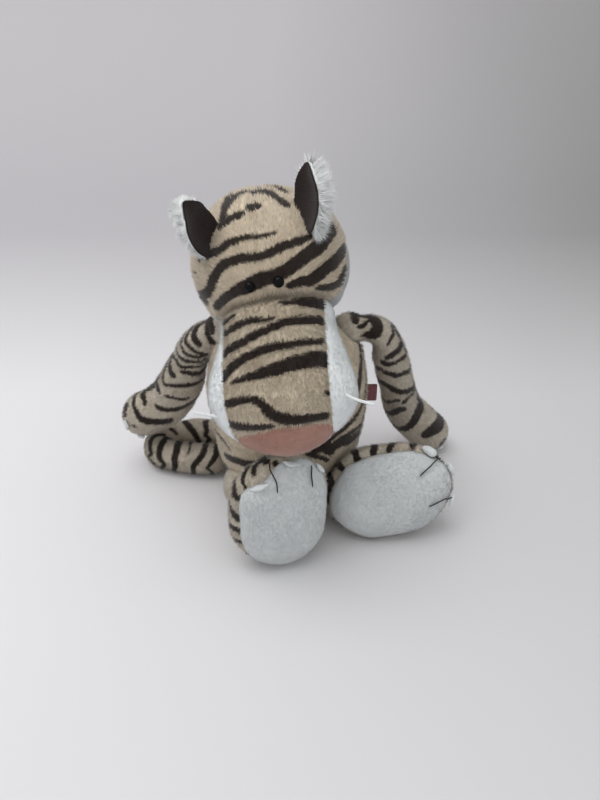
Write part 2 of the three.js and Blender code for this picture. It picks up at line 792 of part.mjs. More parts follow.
function makeBody() {
  const roots = [neckTurn, shoulder(-1), shoulder(1), hip(-1), hip(1), tailSwing];
  const sockets = roots.map(socketFor);
  const bagForm = {
    route: new THREE.LineCurve3(new THREE.Vector3(0, 0, -pelletBagHeight),
      new THREE.Vector3(0, 0, pelletBagHeight)),
    sections: evenSections(pelletBagHalfWidth, pelletBagHalfDepth),
    side: leftward,
    startCap: pelletBagHeight,
    endCap: pelletBagHeight,
    facets: bagFacets,
  };
  const bagSpace = stuffed(bagForm, -gap);
  const cutAll = (solid) => sockets.reduce((rest, socket) => rest.subtract(socket), solid);
  addPiece(tiger, 'body_skin', cutAll(skinOf(bodySolid)), 'stripedPile');
  addPiece(tiger, 'body_filling', cutAll(fillingOf(bodySolid).subtract(bagSpace)), 'fibreFill');
  const bag = pressedFlat(stuffed(bagForm).intersect(fillingOf(bodySolid)), skinWall + gap);
  addPiece(tiger, 'seat_pellet_bag', cutAll(bag), 'pelletCloth');
  addPiece(tiger, 'side_label', labelLoop(), 'darkRibbon');
}

function labelLoop() {
  const seat = onBody(bodyHeight * labelHeightShare, leftward);
  const root = new THREE.Vector3(seat.x - overrun, labelBack, seat.z);
  const outline = new THREE.Shape();
  const outer = labelFold / 2 + labelThick;
  const far = labelOut + overrun;
  outline.moveTo(0, -outer);
  outline.lineTo(far, -outer);
  outline.absarc(far, 0, outer, -halfTurn / 2, halfTurn / 2);
  outline.lineTo(0, outer);
  outline.lineTo(0, labelFold / 2);
  outline.lineTo(far, labelFold / 2);
  outline.absarc(far, 0, labelFold / 2, halfTurn / 2, -halfTurn / 2, true);
  outline.lineTo(0, -labelFold / 2);
  outline.closePath();
  const ribbon = new THREE.ExtrudeGeometry(outline, {
    depth: labelTall, bevelEnabled: false, curveSegments: cordSides,
  });
  ribbon.translate(root.x, root.y, root.z - labelTall / 2);
  return solidOf(ribbon).subtract(bodySolid(-gap));
}

makeBody();
makeNeck();
makeHead();
for (const [hand, name] of [[-1, 'right'], [1, 'left']]) {
  makeEar(hand, name);
  makeWhisker(hand, name);
  makeArm(hand, name);
  makeLeg(hand, name);
}
makeTail();

export default tiger;
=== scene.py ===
# %% [markdown]
# # A seated plush tiger
# The toy is sewn from short pile cloth, filled with fibre and set down with its head slumped
# forward. The imported model gives every size and place. Each cloth skin here is drawn over its
# solid again as a smooth, filled form, and then real pile is grown on it, because soft cloth
# shows its thickness most at its edges, where a painted surface would look cut from paper.

# %% Load the model
import math

import bmesh
import bpy
import numpy as np
from mathutils import Matrix, Vector


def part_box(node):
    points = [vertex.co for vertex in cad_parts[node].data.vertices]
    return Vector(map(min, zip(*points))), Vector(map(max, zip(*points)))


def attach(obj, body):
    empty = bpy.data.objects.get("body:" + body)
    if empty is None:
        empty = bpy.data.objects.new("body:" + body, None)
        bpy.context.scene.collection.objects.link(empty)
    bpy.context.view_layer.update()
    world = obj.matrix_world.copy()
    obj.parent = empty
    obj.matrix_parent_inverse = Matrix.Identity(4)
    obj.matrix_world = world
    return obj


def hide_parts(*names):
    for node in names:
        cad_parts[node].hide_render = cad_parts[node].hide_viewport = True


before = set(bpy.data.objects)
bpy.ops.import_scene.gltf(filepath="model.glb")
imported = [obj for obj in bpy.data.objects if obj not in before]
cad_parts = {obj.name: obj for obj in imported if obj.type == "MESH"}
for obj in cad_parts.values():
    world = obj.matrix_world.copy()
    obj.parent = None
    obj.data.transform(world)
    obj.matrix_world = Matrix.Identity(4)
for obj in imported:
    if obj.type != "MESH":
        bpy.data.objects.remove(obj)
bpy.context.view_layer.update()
bpy.ops.object.select_all(action="DESELECT")
mm = 0.001
# The toy's right side is at -x, which is on the picture's left.
hands = {-1: "right", 1: "left"}

# %% [markdown]
# ## Camera
# The picture was taken from half a metre away and from above, so near things look clearly
# larger. A camera at the real distance gives the same big head; a far one with a longer lens
# would flatten it.

# %% Camera
image_height = 800
sensor_height = 36
focal_pixels = 665.7
camera_spot = Vector((9, -410.7, 331.9)) * mm
camera_pitch = 32
bpy.ops.object.camera_add(location=camera_spot, rotation=(math.radians(90 - camera_pitch), 0, 0))
camera = bpy.context.object
camera.data.lens = focal_pixels * sensor_height / image_height
camera.data.clip_start = 10 * mm
bpy.context.scene.camera = camera
bpy.context.scene.view_settings.view_transform = "Standard"
print("lens:", round(camera.data.lens, 2))

# %% [markdown]
# ## Expressions for shaders
# A material is mostly arithmetic on masks and noises. Wrapping a socket in a small class lets
# that arithmetic be written as plain expressions; each one adds its Math node.

# %% Expressions for shaders
ridges_per_unit = 3.1


class Wire:
    """An output socket that plain expressions can add, subtract, multiply and raise."""

    def __init__(self, cloth, socket):
        self.cloth = cloth
        self.socket = socket

    def math(self, operation, other, swap=False):
        pair = (other, self) if swap else (self, other)
        return self.cloth.node("ShaderNodeMath", {"operation": operation}, {0: pair[0], 1: pair[1]})

    def __add__(self, other):
        return self.math("ADD", other)

    def __sub__(self, other):
        return self.math("SUBTRACT", other)

    def __rsub__(self, other):
        return self.math("SUBTRACT", other, swap=True)

    def __mul__(self, other):
        return self.math("MULTIPLY", other)

    def __pow__(self, other):
        return self.math("POWER", other)

    __radd__ = __add__
    __rmul__ = __mul__


class Cloth:
    """A material being wired."""

    def __init__(self, name):
        self.material = bpy.data.materials.new(name)
        self.material.use_nodes = True
        self.tree = self.material.node_tree
        self.surface = self.tree.nodes["Principled BSDF"]

    def node(self, kind, settings=None, inputs=None, output=0):
        made = self.tree.nodes.new(kind)
        for key, value in (settings or {}).items():
            setattr(made, key, value)
        for key, value in (inputs or {}).items():
            self.feed(made.inputs[key], value)
        return Wire(self, made.outputs[output])

    def feed(self, socket, value):
        if isinstance(value, Wire):
            self.tree.links.new(value.socket, socket)
        else:
            socket.default_value = value

    def set(self, **values):
        for key, value in values.items():
            self.feed(self.surface.inputs[key.replace("_", " ")], value)

    def place(self):
        return self.node("ShaderNodeTexCoord", output="Object")

    def attribute(self, name):
        return self.node("ShaderNodeAttribute", {"attribute_name": name}, output="Fac")

    def noise(self, grain, detail=2.0, rough=0.5):
        """Noise with lumps of about that size in metres."""
        return self.node("ShaderNodeTexNoise", {}, {
            "Vector": self.place(), "Scale": 1 / grain, "Detail": detail, "Roughness": rough})

    def bands(self, grain, way, sway, detail=2.0):
        """Ridges of about that size in metres, one after the other along a direction."""
        return self.node("ShaderNodeTexWave", {"wave_type": "BANDS", "bands_direction": way}, {
            "Vector": self.place(), "Scale": 1 / grain / ridges_per_unit, "Distortion": sway,
            "Detail": detail})

    def blend(self, share, first, second, way="MIX"):
        settings = {"data_type": "RGBA", "blend_type": way}
        return self.node("ShaderNodeMix", settings, {0: share, 6: first, 7: second}, output=2)

    def ramp(self, value, low, high):
        return self.node("ShaderNodeMapRange", {"clamp": True}, {
            "Value": value, "From Min": low, "From Max": high})

    def bump(self, height, strength, deep):
        self.set(Normal=self.node("ShaderNodeBump", {}, {
            "Height": height, "Strength": strength, "Distance": deep}))


def linear(red, green, blue):
    """A colour as seen on a screen, 0 to 255, as the linear light that shaders use."""
    shares = [value / 255 for value in (red, green, blue)]
    return (*[s / 12.92 if s <= 0.04045 else ((s + 0.055) / 1.055) ** 2.4 for s in shares], 1.0)


print("pure white is", linear(255, 255, 255), "and a middle grey", round(linear(128, 128, 128)[0], 3))

# %% [markdown]
# ## Floor and light
# The toy sits on a pale paper sweep that rises close behind it. Light comes from a broad ceiling,
# so what faces up is bright and what faces the camera is about half as bright, with a soft shadow
# under the toy. A wide area lamp above and an even world give that. The paper's colour has painted
# light and shade: it is painted paler on the left, as the room's light falls off to the right, and
# darker up the wall, paler again near its top.

# %% Paper sweep
sweep_half_width = 1.6
sweep_front = -1.1
sweep_bend_start = 0.13
sweep_bend = 0.34
wall_height = 1.7
bend_steps = 24


def paper_sweep():
    profile = [(sweep_front, 0), (sweep_bend_start, 0)]
    for i in range(1, bend_steps + 1):
        turn = math.radians(90) * i / bend_steps
        profile.append((sweep_bend_start + sweep_bend * math.sin(turn), sweep_bend * (1 - math.cos(turn))))
    profile.append((sweep_bend_start + sweep_bend, wall_height))
    spots = [(side * sweep_half_width, y, z) for y, z in profile for side in (-1, 1)]
    faces = [(2 * i, 2 * i + 1, 2 * i + 3, 2 * i + 2) for i in range(len(profile) - 1)]
    mesh = bpy.data.meshes.new("paper_sweep")
    mesh.from_pydata(spots, [], faces)
    sweep = bpy.data.objects.new("paper_sweep", mesh)
    bpy.context.collection.objects.link(sweep)
    return sweep


def only(thing):
    """Selects one thing and nothing else."""
    bpy.ops.object.select_all(action="DESELECT")
    thing.select_set(True)
    bpy.context.view_layer.objects.active = thing


def dressed(thing, material):
    """Smooth shading, and the thing's one material."""
    only(thing)
    bpy.ops.object.shade_smooth()
    thing.data.materials.append(material)


# %% Paper
# Painted light on the paper: paler on the left of the floor, darker on the wall, paler near the wall's top.
paper_left, paper_right = (228, 227, 230), (207, 206, 208)
wall_left, wall_right = (186, 184, 188), (154, 153, 154)
top_left, top_right = (208, 205, 208), (172, 170, 171)
floor_light_falloff = (-0.22, 0.26)
wall_light_falloff = (0.0, 0.36)
wall_foot = (0.0, 0.085)
wall_top = (0.12, 0.34)
light_falloff_wander = 0.3


def paper_painted_light():
    cloth = Cloth("pale_paper_painted_light")
    fibres = cloth.noise(2 * mm, 4, 0.6)
    place = cloth.place()
    across = cloth.node("ShaderNodeSeparateXYZ", {}, {0: place}, output=0)
    high = cloth.node("ShaderNodeSeparateXYZ", {}, {0: place}, output=2)
    drift = cloth.noise(300 * mm, 1) * 0.3 - 0.15
    across = across + drift * light_falloff_wander
    # Painted light: the floor is painted darker to the right and the wall darker than the floor, as the
    # room's light falls off.
    right = cloth.ramp(across, *floor_light_falloff)
    behind = cloth.ramp(across, *wall_light_falloff)
    flat = cloth.blend(right, linear(*paper_left), linear(*paper_right))
    upright = cloth.blend(behind, linear(*wall_left), linear(*wall_right))
    top = cloth.blend(behind, linear(*top_left), linear(*top_right))
    upright = cloth.blend(cloth.ramp(high, *wall_top), upright, top)
    wall = cloth.ramp(high, *wall_foot) ** 0.6
    cloth.set(Base_Color=cloth.blend(wall, flat, upright), Roughness=0.9, Specular_IOR_Level=0.2)
    cloth.bump(fibres, 0.05, 0.1 * mm)
    return cloth.material


floor = paper_sweep()
dressed(floor, paper_painted_light())
print("floor and wall:", len(floor.data.polygons), "faces")

# %% Light
lamp_spot = (-0.4, -0.05, 1.5)
lamp_tilt = math.radians(-10)
lamp_width = 1.3
lamp_power = 12
lamp_colour = (1.0, 0.99, 0.975)
room_colour = (0.98, 1.0, 1.0, 1)
room_light = 0.73
bpy.ops.object.light_add(type="AREA", location=lamp_spot, rotation=(0, lamp_tilt, 0))
ceiling = bpy.context.object
ceiling.data.shape = "SQUARE"
ceiling.data.size = lamp_width
ceiling.data.energy = lamp_power
ceiling.data.color = lamp_colour
world = bpy.data.worlds.new("soft_room")
world.use_nodes = True
world.node_tree.nodes["Background"].inputs["Color"].default_value = room_colour
world.node_tree.nodes["Background"].inputs["Strength"].default_value = room_light
bpy.context.scene.world = world
print("light:", lamp_power, "W from", lamp_spot[2], "m")

# %% [markdown]
# ## Filled forms
# A filled limb is a ball of cloth drawn out along a curved line: round across, rounded at both
# ends, thicker or thinner on the way. One function makes them all from the line, the half sizes
# on the way and the two round ends, as the model does, so each skin lies where its solid is.

# %% A smooth line through chosen places
def smooth_line(places, steps=300):
    """The centripetal curve through the places, as the model's routes are."""
    spots = np.array(places, float)
    if len(spots) == 2:
        return np.linspace(spots[0], spots[1], steps + 1)
    spots = np.vstack([2 * spots[0] - spots[1], spots, 2 * spots[-1] - spots[-2]])
    line = []
    for p0, p1, p2, p3 in zip(spots, spots[1:], spots[2:], spots[3:]):
        d0, d1, d2 = (math.sqrt(np.linalg.norm(b - a)) for a, b in ((p0, p1), (p1, p2), (p2, p3)))
        out1 = ((p1 - p0) / d0 - (p2 - p0) / (d0 + d1) + (p2 - p1) / d1) * d1
        out2 = ((p2 - p1) / d1 - (p3 - p1) / (d1 + d2) + (p3 - p2) / d2) * d1
        t = np.arange(steps)[:, None] / steps
        line.append(p1 + out1 * t + (3 * (p2 - p1) - 2 * out1 - out2) * t ** 2
                    + (2 * (p1 - p2) + out1 + out2) * t ** 3)
    return np.vstack([*line, spots[-2:-1]])


def way_along(line):
    """How far along its line each place is."""
    steps = np.linalg.norm(np.diff(line, axis=0), axis=1)
    return np.concatenate([[0], np.cumsum(steps)])


def between(at, known, rows):
    """Rows of numbers, read between the places where they are known."""
    return np.stack([np.interp(at, known, column) for column in rows.T], -1)


def unit(vectors):
    vectors = np.asarray(vectors, float)
    return vectors / np.linalg.norm(vectors, axis=-1, keepdims=True)


print("a curve through three places has", len(smooth_line([(0, 0), (1, 1), (2, 0)])), "places")

# %% A filled form
class Filled:
    """A ball of cloth drawn out along a line. Turn is the angle round the line.

    A section is three half sizes: to both sides, then at turns below and above zero.
    """

    slices = 400

    def __init__(self, places, sections, side, start_cap, end_cap, cup=0, shift=0):
        self.line = smooth_line(places)
        self.way = way_along(self.line)
        self.length = self.way[-1]
        self.sections = smooth_line(sections, 60)
        self.side = unit(side)
        self.start_cap = start_cap
        self.end_cap = end_cap
        self.cup = cup
        self.shift = shift

    def on_line(self, distance):
        return between(distance, self.way, self.line)

    def ahead(self, distance):
        step = self.length / self.slices
        middle = np.clip(distance, step, self.length - step)
        low, high = middle - step, middle + step
        return unit(self.on_line(high) - self.on_line(low))

    def half(self, distance):
        last = len(self.sections) - 1
        at = np.clip(distance / self.length, 0, 1) * last
        return between(at, np.arange(last + 1), self.sections)

    def spots(self, distance, turn, inset=0.0):
        """Places on the surface."""
        distance = np.asarray(distance, float)
        ahead = self.ahead(distance)
        side = unit(self.side - ahead * (ahead @ self.side)[..., None])
        back = np.cross(ahead, side)
        half = self.half(distance)

        def round_end(gone, cap):
            return np.where(gone >= cap, 1, np.sqrt(np.maximum(0, 1 - (1 - gone / cap) ** 2)))

        round_off = (round_end(distance - inset, self.start_cap - inset)
                     * round_end(self.length - inset - distance, self.end_cap - inset))
        depth = np.where(np.sin(turn) < 0, half[..., 1], half[..., 2]) - inset
        across = np.cos(turn) * (half[..., 0] - inset) * round_off
        cup = self.cup * np.cos(turn) ** 2 * round_off ** 2
        lift = np.sin(turn) * np.maximum(depth, 0) * round_off - cup + self.shift
        return self.on_line(distance) + side * across[..., None] + back * lift[..., None]


def even(half):
    return [(half, half, half)] * 2


# %% The body's form
gap = 0.3 * mm
body_high = 142 * mm
seat_sink = 7 * mm
body_lean = 16 * mm
body_half = np.array([58, 44, 42]) * mm
body_shares = [(.76, .84, .86), (.83, .95, .96), (.94, 1, 1), (1, .96, .98), (.94, .80, .86),
               (.72, .56, .66)]
body = Filled(
    [(0, 0, -seat_sink), (0, -body_lean / 4, body_high / 3), (0, body_lean / 4, body_high * 2 / 3),
     (0, body_lean, body_high)],
    body_half * body_shares, (1, 0, 0), 34 * mm, 26 * mm)
print("body", round(body.length / mm), "mm")

# %% The forms of arms and tail
shoulder_ball = 14.5 * mm
shoulder_spot = {hand: np.array((43.2 * hand, 12, 126)) * mm for hand in hands}
paw_radius = 17.5 * mm
tail_radius = 13 * mm
tail_ball = 13.5 * mm
tail_root = np.array((-30, 30, 13.5)) * mm
tail_spans = np.array((-103, 46, 12.5)) * mm
tail_shares = [(.505, .935, 0), (.796, 1, 0), (1, .804, 0), (1, .478, 0), (.835, .326, 0), (.466, .239, 0)]
arm_half_shares = np.array([.76, .74, .79, .94, 1.0])
# The right hand lies on the folded tail, and the left one on the floor.
arm_spans = {
    -1: np.array((-128, 26, tail_radius * 2 / mm + paw_radius / mm - 0.2)) * mm,
    1: np.array((127, 50, paw_radius / mm - 0.5)) * mm,
}
arm_shares = {
    -1: [(.49, .54, .86), (.57, .73, .62), (.63, .92, .35), (.75, 1.0, .13), (1, .73, 0)],
    1: [(.49, .22, .98), (.58, .28, .82), (.64, .46, .55), (.74, .76, .23), (1, 1, -.11)],
}


def limb_line(start, shares, spans):
    """Places on a limb's line: shares of its reach out, back and up to its root."""
    high = start[2]
    return [start] + [(spans[0] * out, spans[1] * back, spans[2] + (high - spans[2]) * up)
                      for out, back, up in shares]


def arm_form(hand):
    half = np.stack([arm_half_shares * paw_radius] * 3, -1)
    places = limb_line(shoulder_spot[hand], arm_shares[hand], arm_spans[hand])
    return Filled(places, half, (0, -1, 0), shoulder_ball, paw_radius)


arms = {hand: arm_form(hand) for hand in hands}
tail = Filled(limb_line(tail_root, tail_shares, tail_spans), even(tail_radius), (0, 0, 1),
              tail_radius, tail_radius)
print("arms", [round(arm.length / mm) for arm in arms.values()], "mm, tail", round(tail.length / mm), "mm")

# %% The forms of feet and legs
foot_length = 88 * mm
foot_cap = 30 * mm
foot_half = np.array([32, 17, 20]) * mm
foot_shares = [(.86, 1, 1), (.96, 1, 1), (1, 1, .80), (.92, .90, .62)]
foot_places = {
    -1: ((-4, -85, -.5), (.03, .02, 1), (.33, -.93, .12)),
    1: ((27, -56, 23.3), (.97, .10, .17), (.02, -.93, .36)),
}
leg_radius = 16 * mm
hip_ball = 18 * mm
hip_spot = {hand: np.array((26 * hand, -31, 18.3)) * mm for hand in hands}
ankle_share = 0.3


class Foot(Filled):
    """A wide flat foot: its sole faces forwards."""

    def __init__(self, hand):
        heel, toes, sole = (np.array(row, float) for row in foot_places[hand])
        self.heel = heel * mm
        self.toes = unit(toes)
        self.sole = unit(sole - self.toes * (sole @ self.toes))
        side = np.cross(-self.sole, self.toes)
        super().__init__([self.heel, self.heel + self.toes * foot_length], foot_half * foot_shares,
                         side, foot_cap, foot_cap)

    def along(self, spots):
        """How far each place is from the heel towards the toes."""
        return (spots - self.heel) @ self.toes


def leg_form(hand):
    foot = feet[hand]
    ankle = foot.heel + foot.toes * foot_length * ankle_share - foot.sole * leg_radius / 2
    return Filled([hip_spot[hand], ankle], even(leg_radius), (0, 0, 1), leg_radius, leg_radius)


feet = {hand: Foot(hand) for hand in hands}
legs = {hand: leg_form(hand) for hand in hands}
print("feet", round(foot_length / mm), "mm, legs", [round(leg.length / mm) for leg in legs.values()], "mm")

# %% The head's own frame
dome_half = np.array([49, 48, 47]) * mm
head_spot = np.array((-9, -18, 185)) * mm
head_turn = (Matrix.Rotation(math.radians(12), 3, "Z") @ Matrix.Rotation(math.radians(49), 3, "X")
             @ Matrix.Rotation(math.radians(-17), 3, "Y"))
head_axes = np.array(head_turn)
muzzle_bend = math.radians(-3.7)
muzzle_ahead = np.array((math.sin(muzzle_bend), -math.cos(muzzle_bend), 0))
muzzle_side = np.array((math.cos(muzzle_bend), math.sin(muzzle_bend), 0))
muzzle_root = np.array((1.5, -6, -1)) * mm
muzzle_length = 113 * mm
muzzle_cap = 34 * mm
muzzle_half = np.array([46, 31, 37]) * mm
muzzle_shares = [(.72, .95, .92), (.80, 1, 1), (1, 1, 1), (.85, .88, .92)]
muzzle = Filled([muzzle_root, muzzle_root + muzzle_ahead * muzzle_length], muzzle_half * muzzle_shares,
                (1, 0, 0), muzzle_cap, muzzle_cap)
neck_ball = 23 * mm
neck_spot = np.array((-4, 12, 139)) * mm


def to_world(spots):
    return np.asarray(spots) @ head_axes.T + head_spot


def to_head(spots):
    return (np.asarray(spots) - head_spot) @ head_axes


def dome_high(x, y):
    """How high the dome is over a place in the head's own frame."""
    return dome_half[2] * math.sqrt(1 - (x / dome_half[0]) ** 2 - (y / dome_half[1]) ** 2)


print("muzzle", round(muzzle.length / mm), "mm long, its end at", np.round(to_world(muzzle.line[-1]) / mm))

# %% [markdown]
# ## From forms to skins
# Two forms that are sewn together have to become one surface. Voxel remesh joins them and gives
# even small faces, and a few rounds of smoothing let the join flow as filled cloth does. Where a
# limb is sewn into the body, the body's cloth is pushed in by the limb's round root.

# %% Working on meshes as arrays
def column(rows, name, wide=1, kind=np.float32):
    """One property of all rows of a mesh, as an array."""
    flat = np.empty(len(rows) * wide, kind)
    rows.foreach_get(name, flat)
    return flat.reshape(-1, wide) if wide > 1 else flat


def spots_of(thing):
    return column(thing.data.vertices, "co", 3).astype(float)


def normals_of(thing):
    return column(thing.data.vertex_normals, "vector", 3).astype(float)


def chart_of(mesh):
    """Each corner's place on the flat map, or nought where the mesh has no map."""
    if not mesh.uv_layers:
        return np.zeros((len(mesh.loops), 2), np.float32)
    return column(mesh.uv_layers.active.data, "uv", 2)


def move_to(thing, spots):
    thing.data.vertices.foreach_set("co", np.asarray(spots, np.float32).ravel())
    thing.data.update()


def push_out(thing, far):
    """Moves each vertex along its normal."""
    move_to(thing, spots_of(thing) + normals_of(thing) * far[:, None])


def dots(first, second):
    return np.einsum("ij,ij->i", first, second)


def hill(far, wide):
    """1 in the middle, and almost 0 at twice the width from it."""
    return np.exp(-(far / wide) ** 2)


print("the floor has", len(spots_of(floor)), "vertices")


# %% Copies, cuts and modifiers
cut_merge = 0.01 * mm


def copy_of(thing, name):
    """A copy with its own mesh."""
    twin = thing.copy()
    twin.data = thing.data.copy()
    twin.name = name
    bpy.context.collection.objects.link(twin)
    return twin


def cut_by(thing, planes, **cleared):
    """Cuts a mesh along planes, each a place and a direction."""
    mesh = bmesh.new()
    mesh.from_mesh(thing.data)
    for place, way in planes:
        everything = mesh.verts[:] + mesh.edges[:] + mesh.faces[:]
        bmesh.ops.bisect_plane(mesh, geom=everything, dist=cut_merge, plane_co=place,
                               plane_no=way, **cleared)
    mesh.to_mesh(thing.data)
    mesh.free()


def apply_modifier(thing, kind, **settings):
    only(thing)
    modifier = thing.modifiers.new(kind.lower(), kind)
    for key, value in settings.items():
        setattr(modifier, key, value)
    bpy.ops.object.modifier_apply(modifier=modifier.name)


print("cuts merge what lies within", cut_merge / mm, "mm")

# %% Skins
pile_room = 1.2 * mm
voxel = 1.6 * mm


def new_ball(segments, rings, radius=1):
    """A plain ball, to be shaped."""
    bpy.ops.object.select_all(action="DESELECT")
    bpy.ops.mesh.primitive_uv_sphere_add(segments=segments, ring_count=rings, radius=radius)
    return bpy.context.object


def drawn(form, around=72, along=110, inset=pile_room):
    """A ball, drawn out along the form's line."""
    thing = new_ball(around, along)
    ball = spots_of(thing)
    distance = inset + (form.length - 2 * inset) * (1 - ball[:, 2]) / 2
    move_to(thing, form.spots(distance, np.arctan2(ball[:, 1], ball[:, 0]), inset))
    return thing


def ball_of(spot, radii):
    thing = new_ball(64, 48)
    move_to(thing, spots_of(thing) * radii + spot)
    return thing


def joined(name, things, size=voxel, rounds=10):
    """The things as one smooth skin."""
    only(things[0])
    for thing in things[1:]:
        thing.select_set(True)
    if len(things) > 1:
        bpy.ops.object.join()
    skin = bpy.context.view_layer.objects.active
    skin.name = name
    skin.data.name = name
    bpy.ops.object.mode_set(mode="EDIT")
    bpy.ops.mesh.select_all(action="SELECT")
    bpy.ops.mesh.normals_make_consistent(inside=False)
    bpy.ops.object.mode_set(mode="OBJECT")
    apply_modifier(skin, "REMESH", mode="VOXEL", voxel_size=size)
    apply_modifier(skin, "SMOOTH", factor=0.5, iterations=rounds)
    return skin


def hollow(skin, spot, radius):
    """Pushes the skin in where a round root is sewn to it."""
    out = normals_of(skin)
    rel = spots_of(skin) - spot
    along = dots(rel, out)
    room = along ** 2 - (dots(rel, rel) - radius ** 2)
    inside = np.linalg.norm(rel, axis=1) < radius
    push_out(skin, -np.where(inside, along + np.sqrt(np.maximum(room, 0)), 0))


def press_flat(skin):
    """What would sink into the floor lies flat on it."""
    spots = spots_of(skin)
    spots[:, 2] = np.maximum(spots[:, 2], 0)
    move_to(skin, spots)


print("skins lie", pile_room / mm, "mm inside their solids, with faces of about", voxel / mm, "mm")

# %% Soft unevenness
wave_count = 7
wave_spread = (0.7, 1.5)
wave_long = 1.6
wave_peak = 3.2


def swell(spots, size, seed):
    """A smooth, steady noise from -1 to 1 with lumps of about that size."""
    chance = np.random.default_rng(seed)
    total = 0
    for _ in range(wave_count):
        way = unit(chance.normal(size=3)) * chance.uniform(*wave_spread) * 2 * math.pi / size / wave_long
        total = total + np.sin(np.asarray(spots) @ way + chance.uniform(0, 2 * math.pi))
    return total / wave_peak


def lump(skin, size, deep, seed):
    """Filling is never quite even."""
    push_out(skin, swell(spots_of(skin), size, seed) * deep)


print("swell at one place:", round(float(swell(np.zeros(3), 10 * mm, 1)), 3))

# %% [markdown]
# ## Stripes
# The stripes are printed on the cloth before it is sewn, so each one follows its own piece. A
# stripe is written as a few places on the piece and its widths on the way. The distance of a
# point from that line, less half the width, says whether the pile there is dark. The same way
# marks a seam, where the cloth is drawn in.

# %% Stripes as lines with widths
stripe_step = 0.7 * mm
print_spread = 1.1 * mm
print_depth = 5 * mm
point_share = 0.35
point_long = 3 * mm
chunk = 3000


def marks(line, widths):
    """Samples along a line in space: places and half widths in metres, narrow at both ends."""
    line = smooth_line(line, 40)
    way = way_along(line)
    at = np.linspace(0, way[-1], max(int(way[-1] / stripe_step), 2))
    half = (np.interp(at / way[-1], np.linspace(0, 1, len(widths)), widths) * mm + print_spread) / 2
    for gone in (at, way[-1] - at):
        half = half * np.clip(point_share + gone / point_long, 0, 1)
    return np.column_stack([between(at, way, line), half])


def edge_distance(spots, samples, out=None):
    """How far each spot is outside the nearest mark, in metres; negative inside.

    Height along the cloth's normal, out, doesn't count up to the depth of print_depth.
    """
    far = np.full(len(spots), 1.0)
    if samples is None:
        return far
    places = samples[:, :3]
    for start in range(0, len(spots), chunk):
        part = spots[start:start + chunk]
        apart = (part ** 2).sum(1)[:, None] - 2 * part @ places.T + (places ** 2).sum(1)
        if out is not None:
            way = out[start:start + chunk]
            high = np.abs(dots(part, way)[:, None] - way @ places.T)
            apart += np.maximum(high - print_depth, 0) ** 2 - high ** 2
        far[start:start + chunk] = (np.sqrt(np.maximum(apart, 0)) - samples[:, 3]).min(1)
    return far


# %% Stripes on a filled form
wrap_from = 50
wrap_steps = 6
wrap_sway = 0.02
wrap_thin = 0.6


def wrapped(fine, widths, wrap):
    """Carries a stripe that ends near the limb's edge on round the side that isn't seen."""
    for end in (0, -1):
        turn = fine[end, 1]
        if abs(turn) > wrap_from:
            goal = math.copysign(abs(turn) + wrap, turn)
            turns = np.linspace(turn, goal, wrap_steps + 1)[1:]
            extra = np.column_stack([np.full(wrap_steps, fine[end, 0]), turns])
            extra[:, 0] += wrap_sway * np.sin(np.linspace(0, 2, wrap_steps) + turn)
            fine = np.vstack([extra[::-1], fine]) if end == 0 else np.vstack([fine, extra])
            widths = [widths[0] * wrap_thin, *widths] if end == 0 else [*widths, widths[-1] * wrap_thin]
    return fine, widths


def on_form(form, rows, wrap=0):
    """Stripes on a filled form. A row: widths in mm, then places as (share of its length, turn)."""
    out = []
    for widths, *places in rows:
        fine = smooth_line(places, 12)
        if wrap:
            fine, widths = wrapped(fine, list(widths), wrap)
        line = form.spots(fine[:, 0] * form.length, np.radians(fine[:, 1]))
        out.append(marks(line[:: max(len(line) // 24, 1)], widths))
    return np.vstack(out)


print("marks on a 40 mm stripe:", len(marks([(0, 0, 0), (40 * mm, 0, 0)], [3])))

# %% [markdown]
# ## Pile
# Each tuft of the pile is a thin three-sided blade that leans the way the cloth was brushed.
# Neighbours lean together, as real pile does. The blades are joined to the skin they grow on,
# and each is coloured by where its outer half lies in the print. Hair from a particle system
# would need the hair shader and would not leave Blender with the model; small solid blades do.

# %% Sowing roots
def sow(skin, per_square_mm, chance):
    """Random roots on a skin: places, normals, and the map place of each."""
    mesh = skin.data
    mesh.calc_loop_triangles()
    corners = column(mesh.loop_triangles, "vertices", 3, np.int32)
    loops = column(mesh.loop_triangles, "loops", 3, np.int32)
    spots = spots_of(skin)
    a, b, c = (spots[corners[:, i]] for i in range(3))
    area = np.linalg.norm(np.cross(b - a, c - a), axis=1) / 2
    total = area.sum()
    picks = chance.choice(len(corners), int(total / mm ** 2 * per_square_mm), p=area / total)
    u, v = chance.random(len(picks)), chance.random(len(picks))
    flip = u + v > 1
    u, v = np.where(flip, 1 - u, u), np.where(flip, 1 - v, v)
    weights = np.stack([1 - u - v, u, v], -1)

    def mixed(rows):
        return np.einsum("ij,ijk->ik", weights, rows)

    out = unit(mixed(normals_of(skin)[corners[picks]]))
    return mixed(spots[corners[picks]]), out, mixed(chart_of(mesh)[loops[picks]])


print("roots on a square centimetre at two on each square millimetre:", 2 * 10 ** 2)

# %% Growing blades
root_depth = 0.3 * mm
lowest_rise = 0.22
least_comb = 0.2
tuft_drift = 0.4
least_pull = 0.4
long_noise = 0.18
patch_noise = 0.12
patch_size = 9 * mm
shortest, longest = 0.4, 1.5


def gathered(roots, tips, swirl, look, chance):
    """Draws the tips of each tuft together, and gives each blade its tuft's own chance."""
    cell = np.floor((roots + tuft_drift * look["tuft"] * swirl) / look["tuft"]).astype(np.int64)
    key = np.unique(cell, axis=0, return_inverse=True)[1].ravel()
    size = np.bincount(key)
    middle = np.stack([np.bincount(key, tips[:, k]) / size for k in range(3)], -1)
    pull = chance.uniform(least_pull, 1, len(tips))
    tips = tips + (middle[key] - tips) * look["gather"] * pull[:, None]
    return tips, chance.normal(size=len(size))[key]


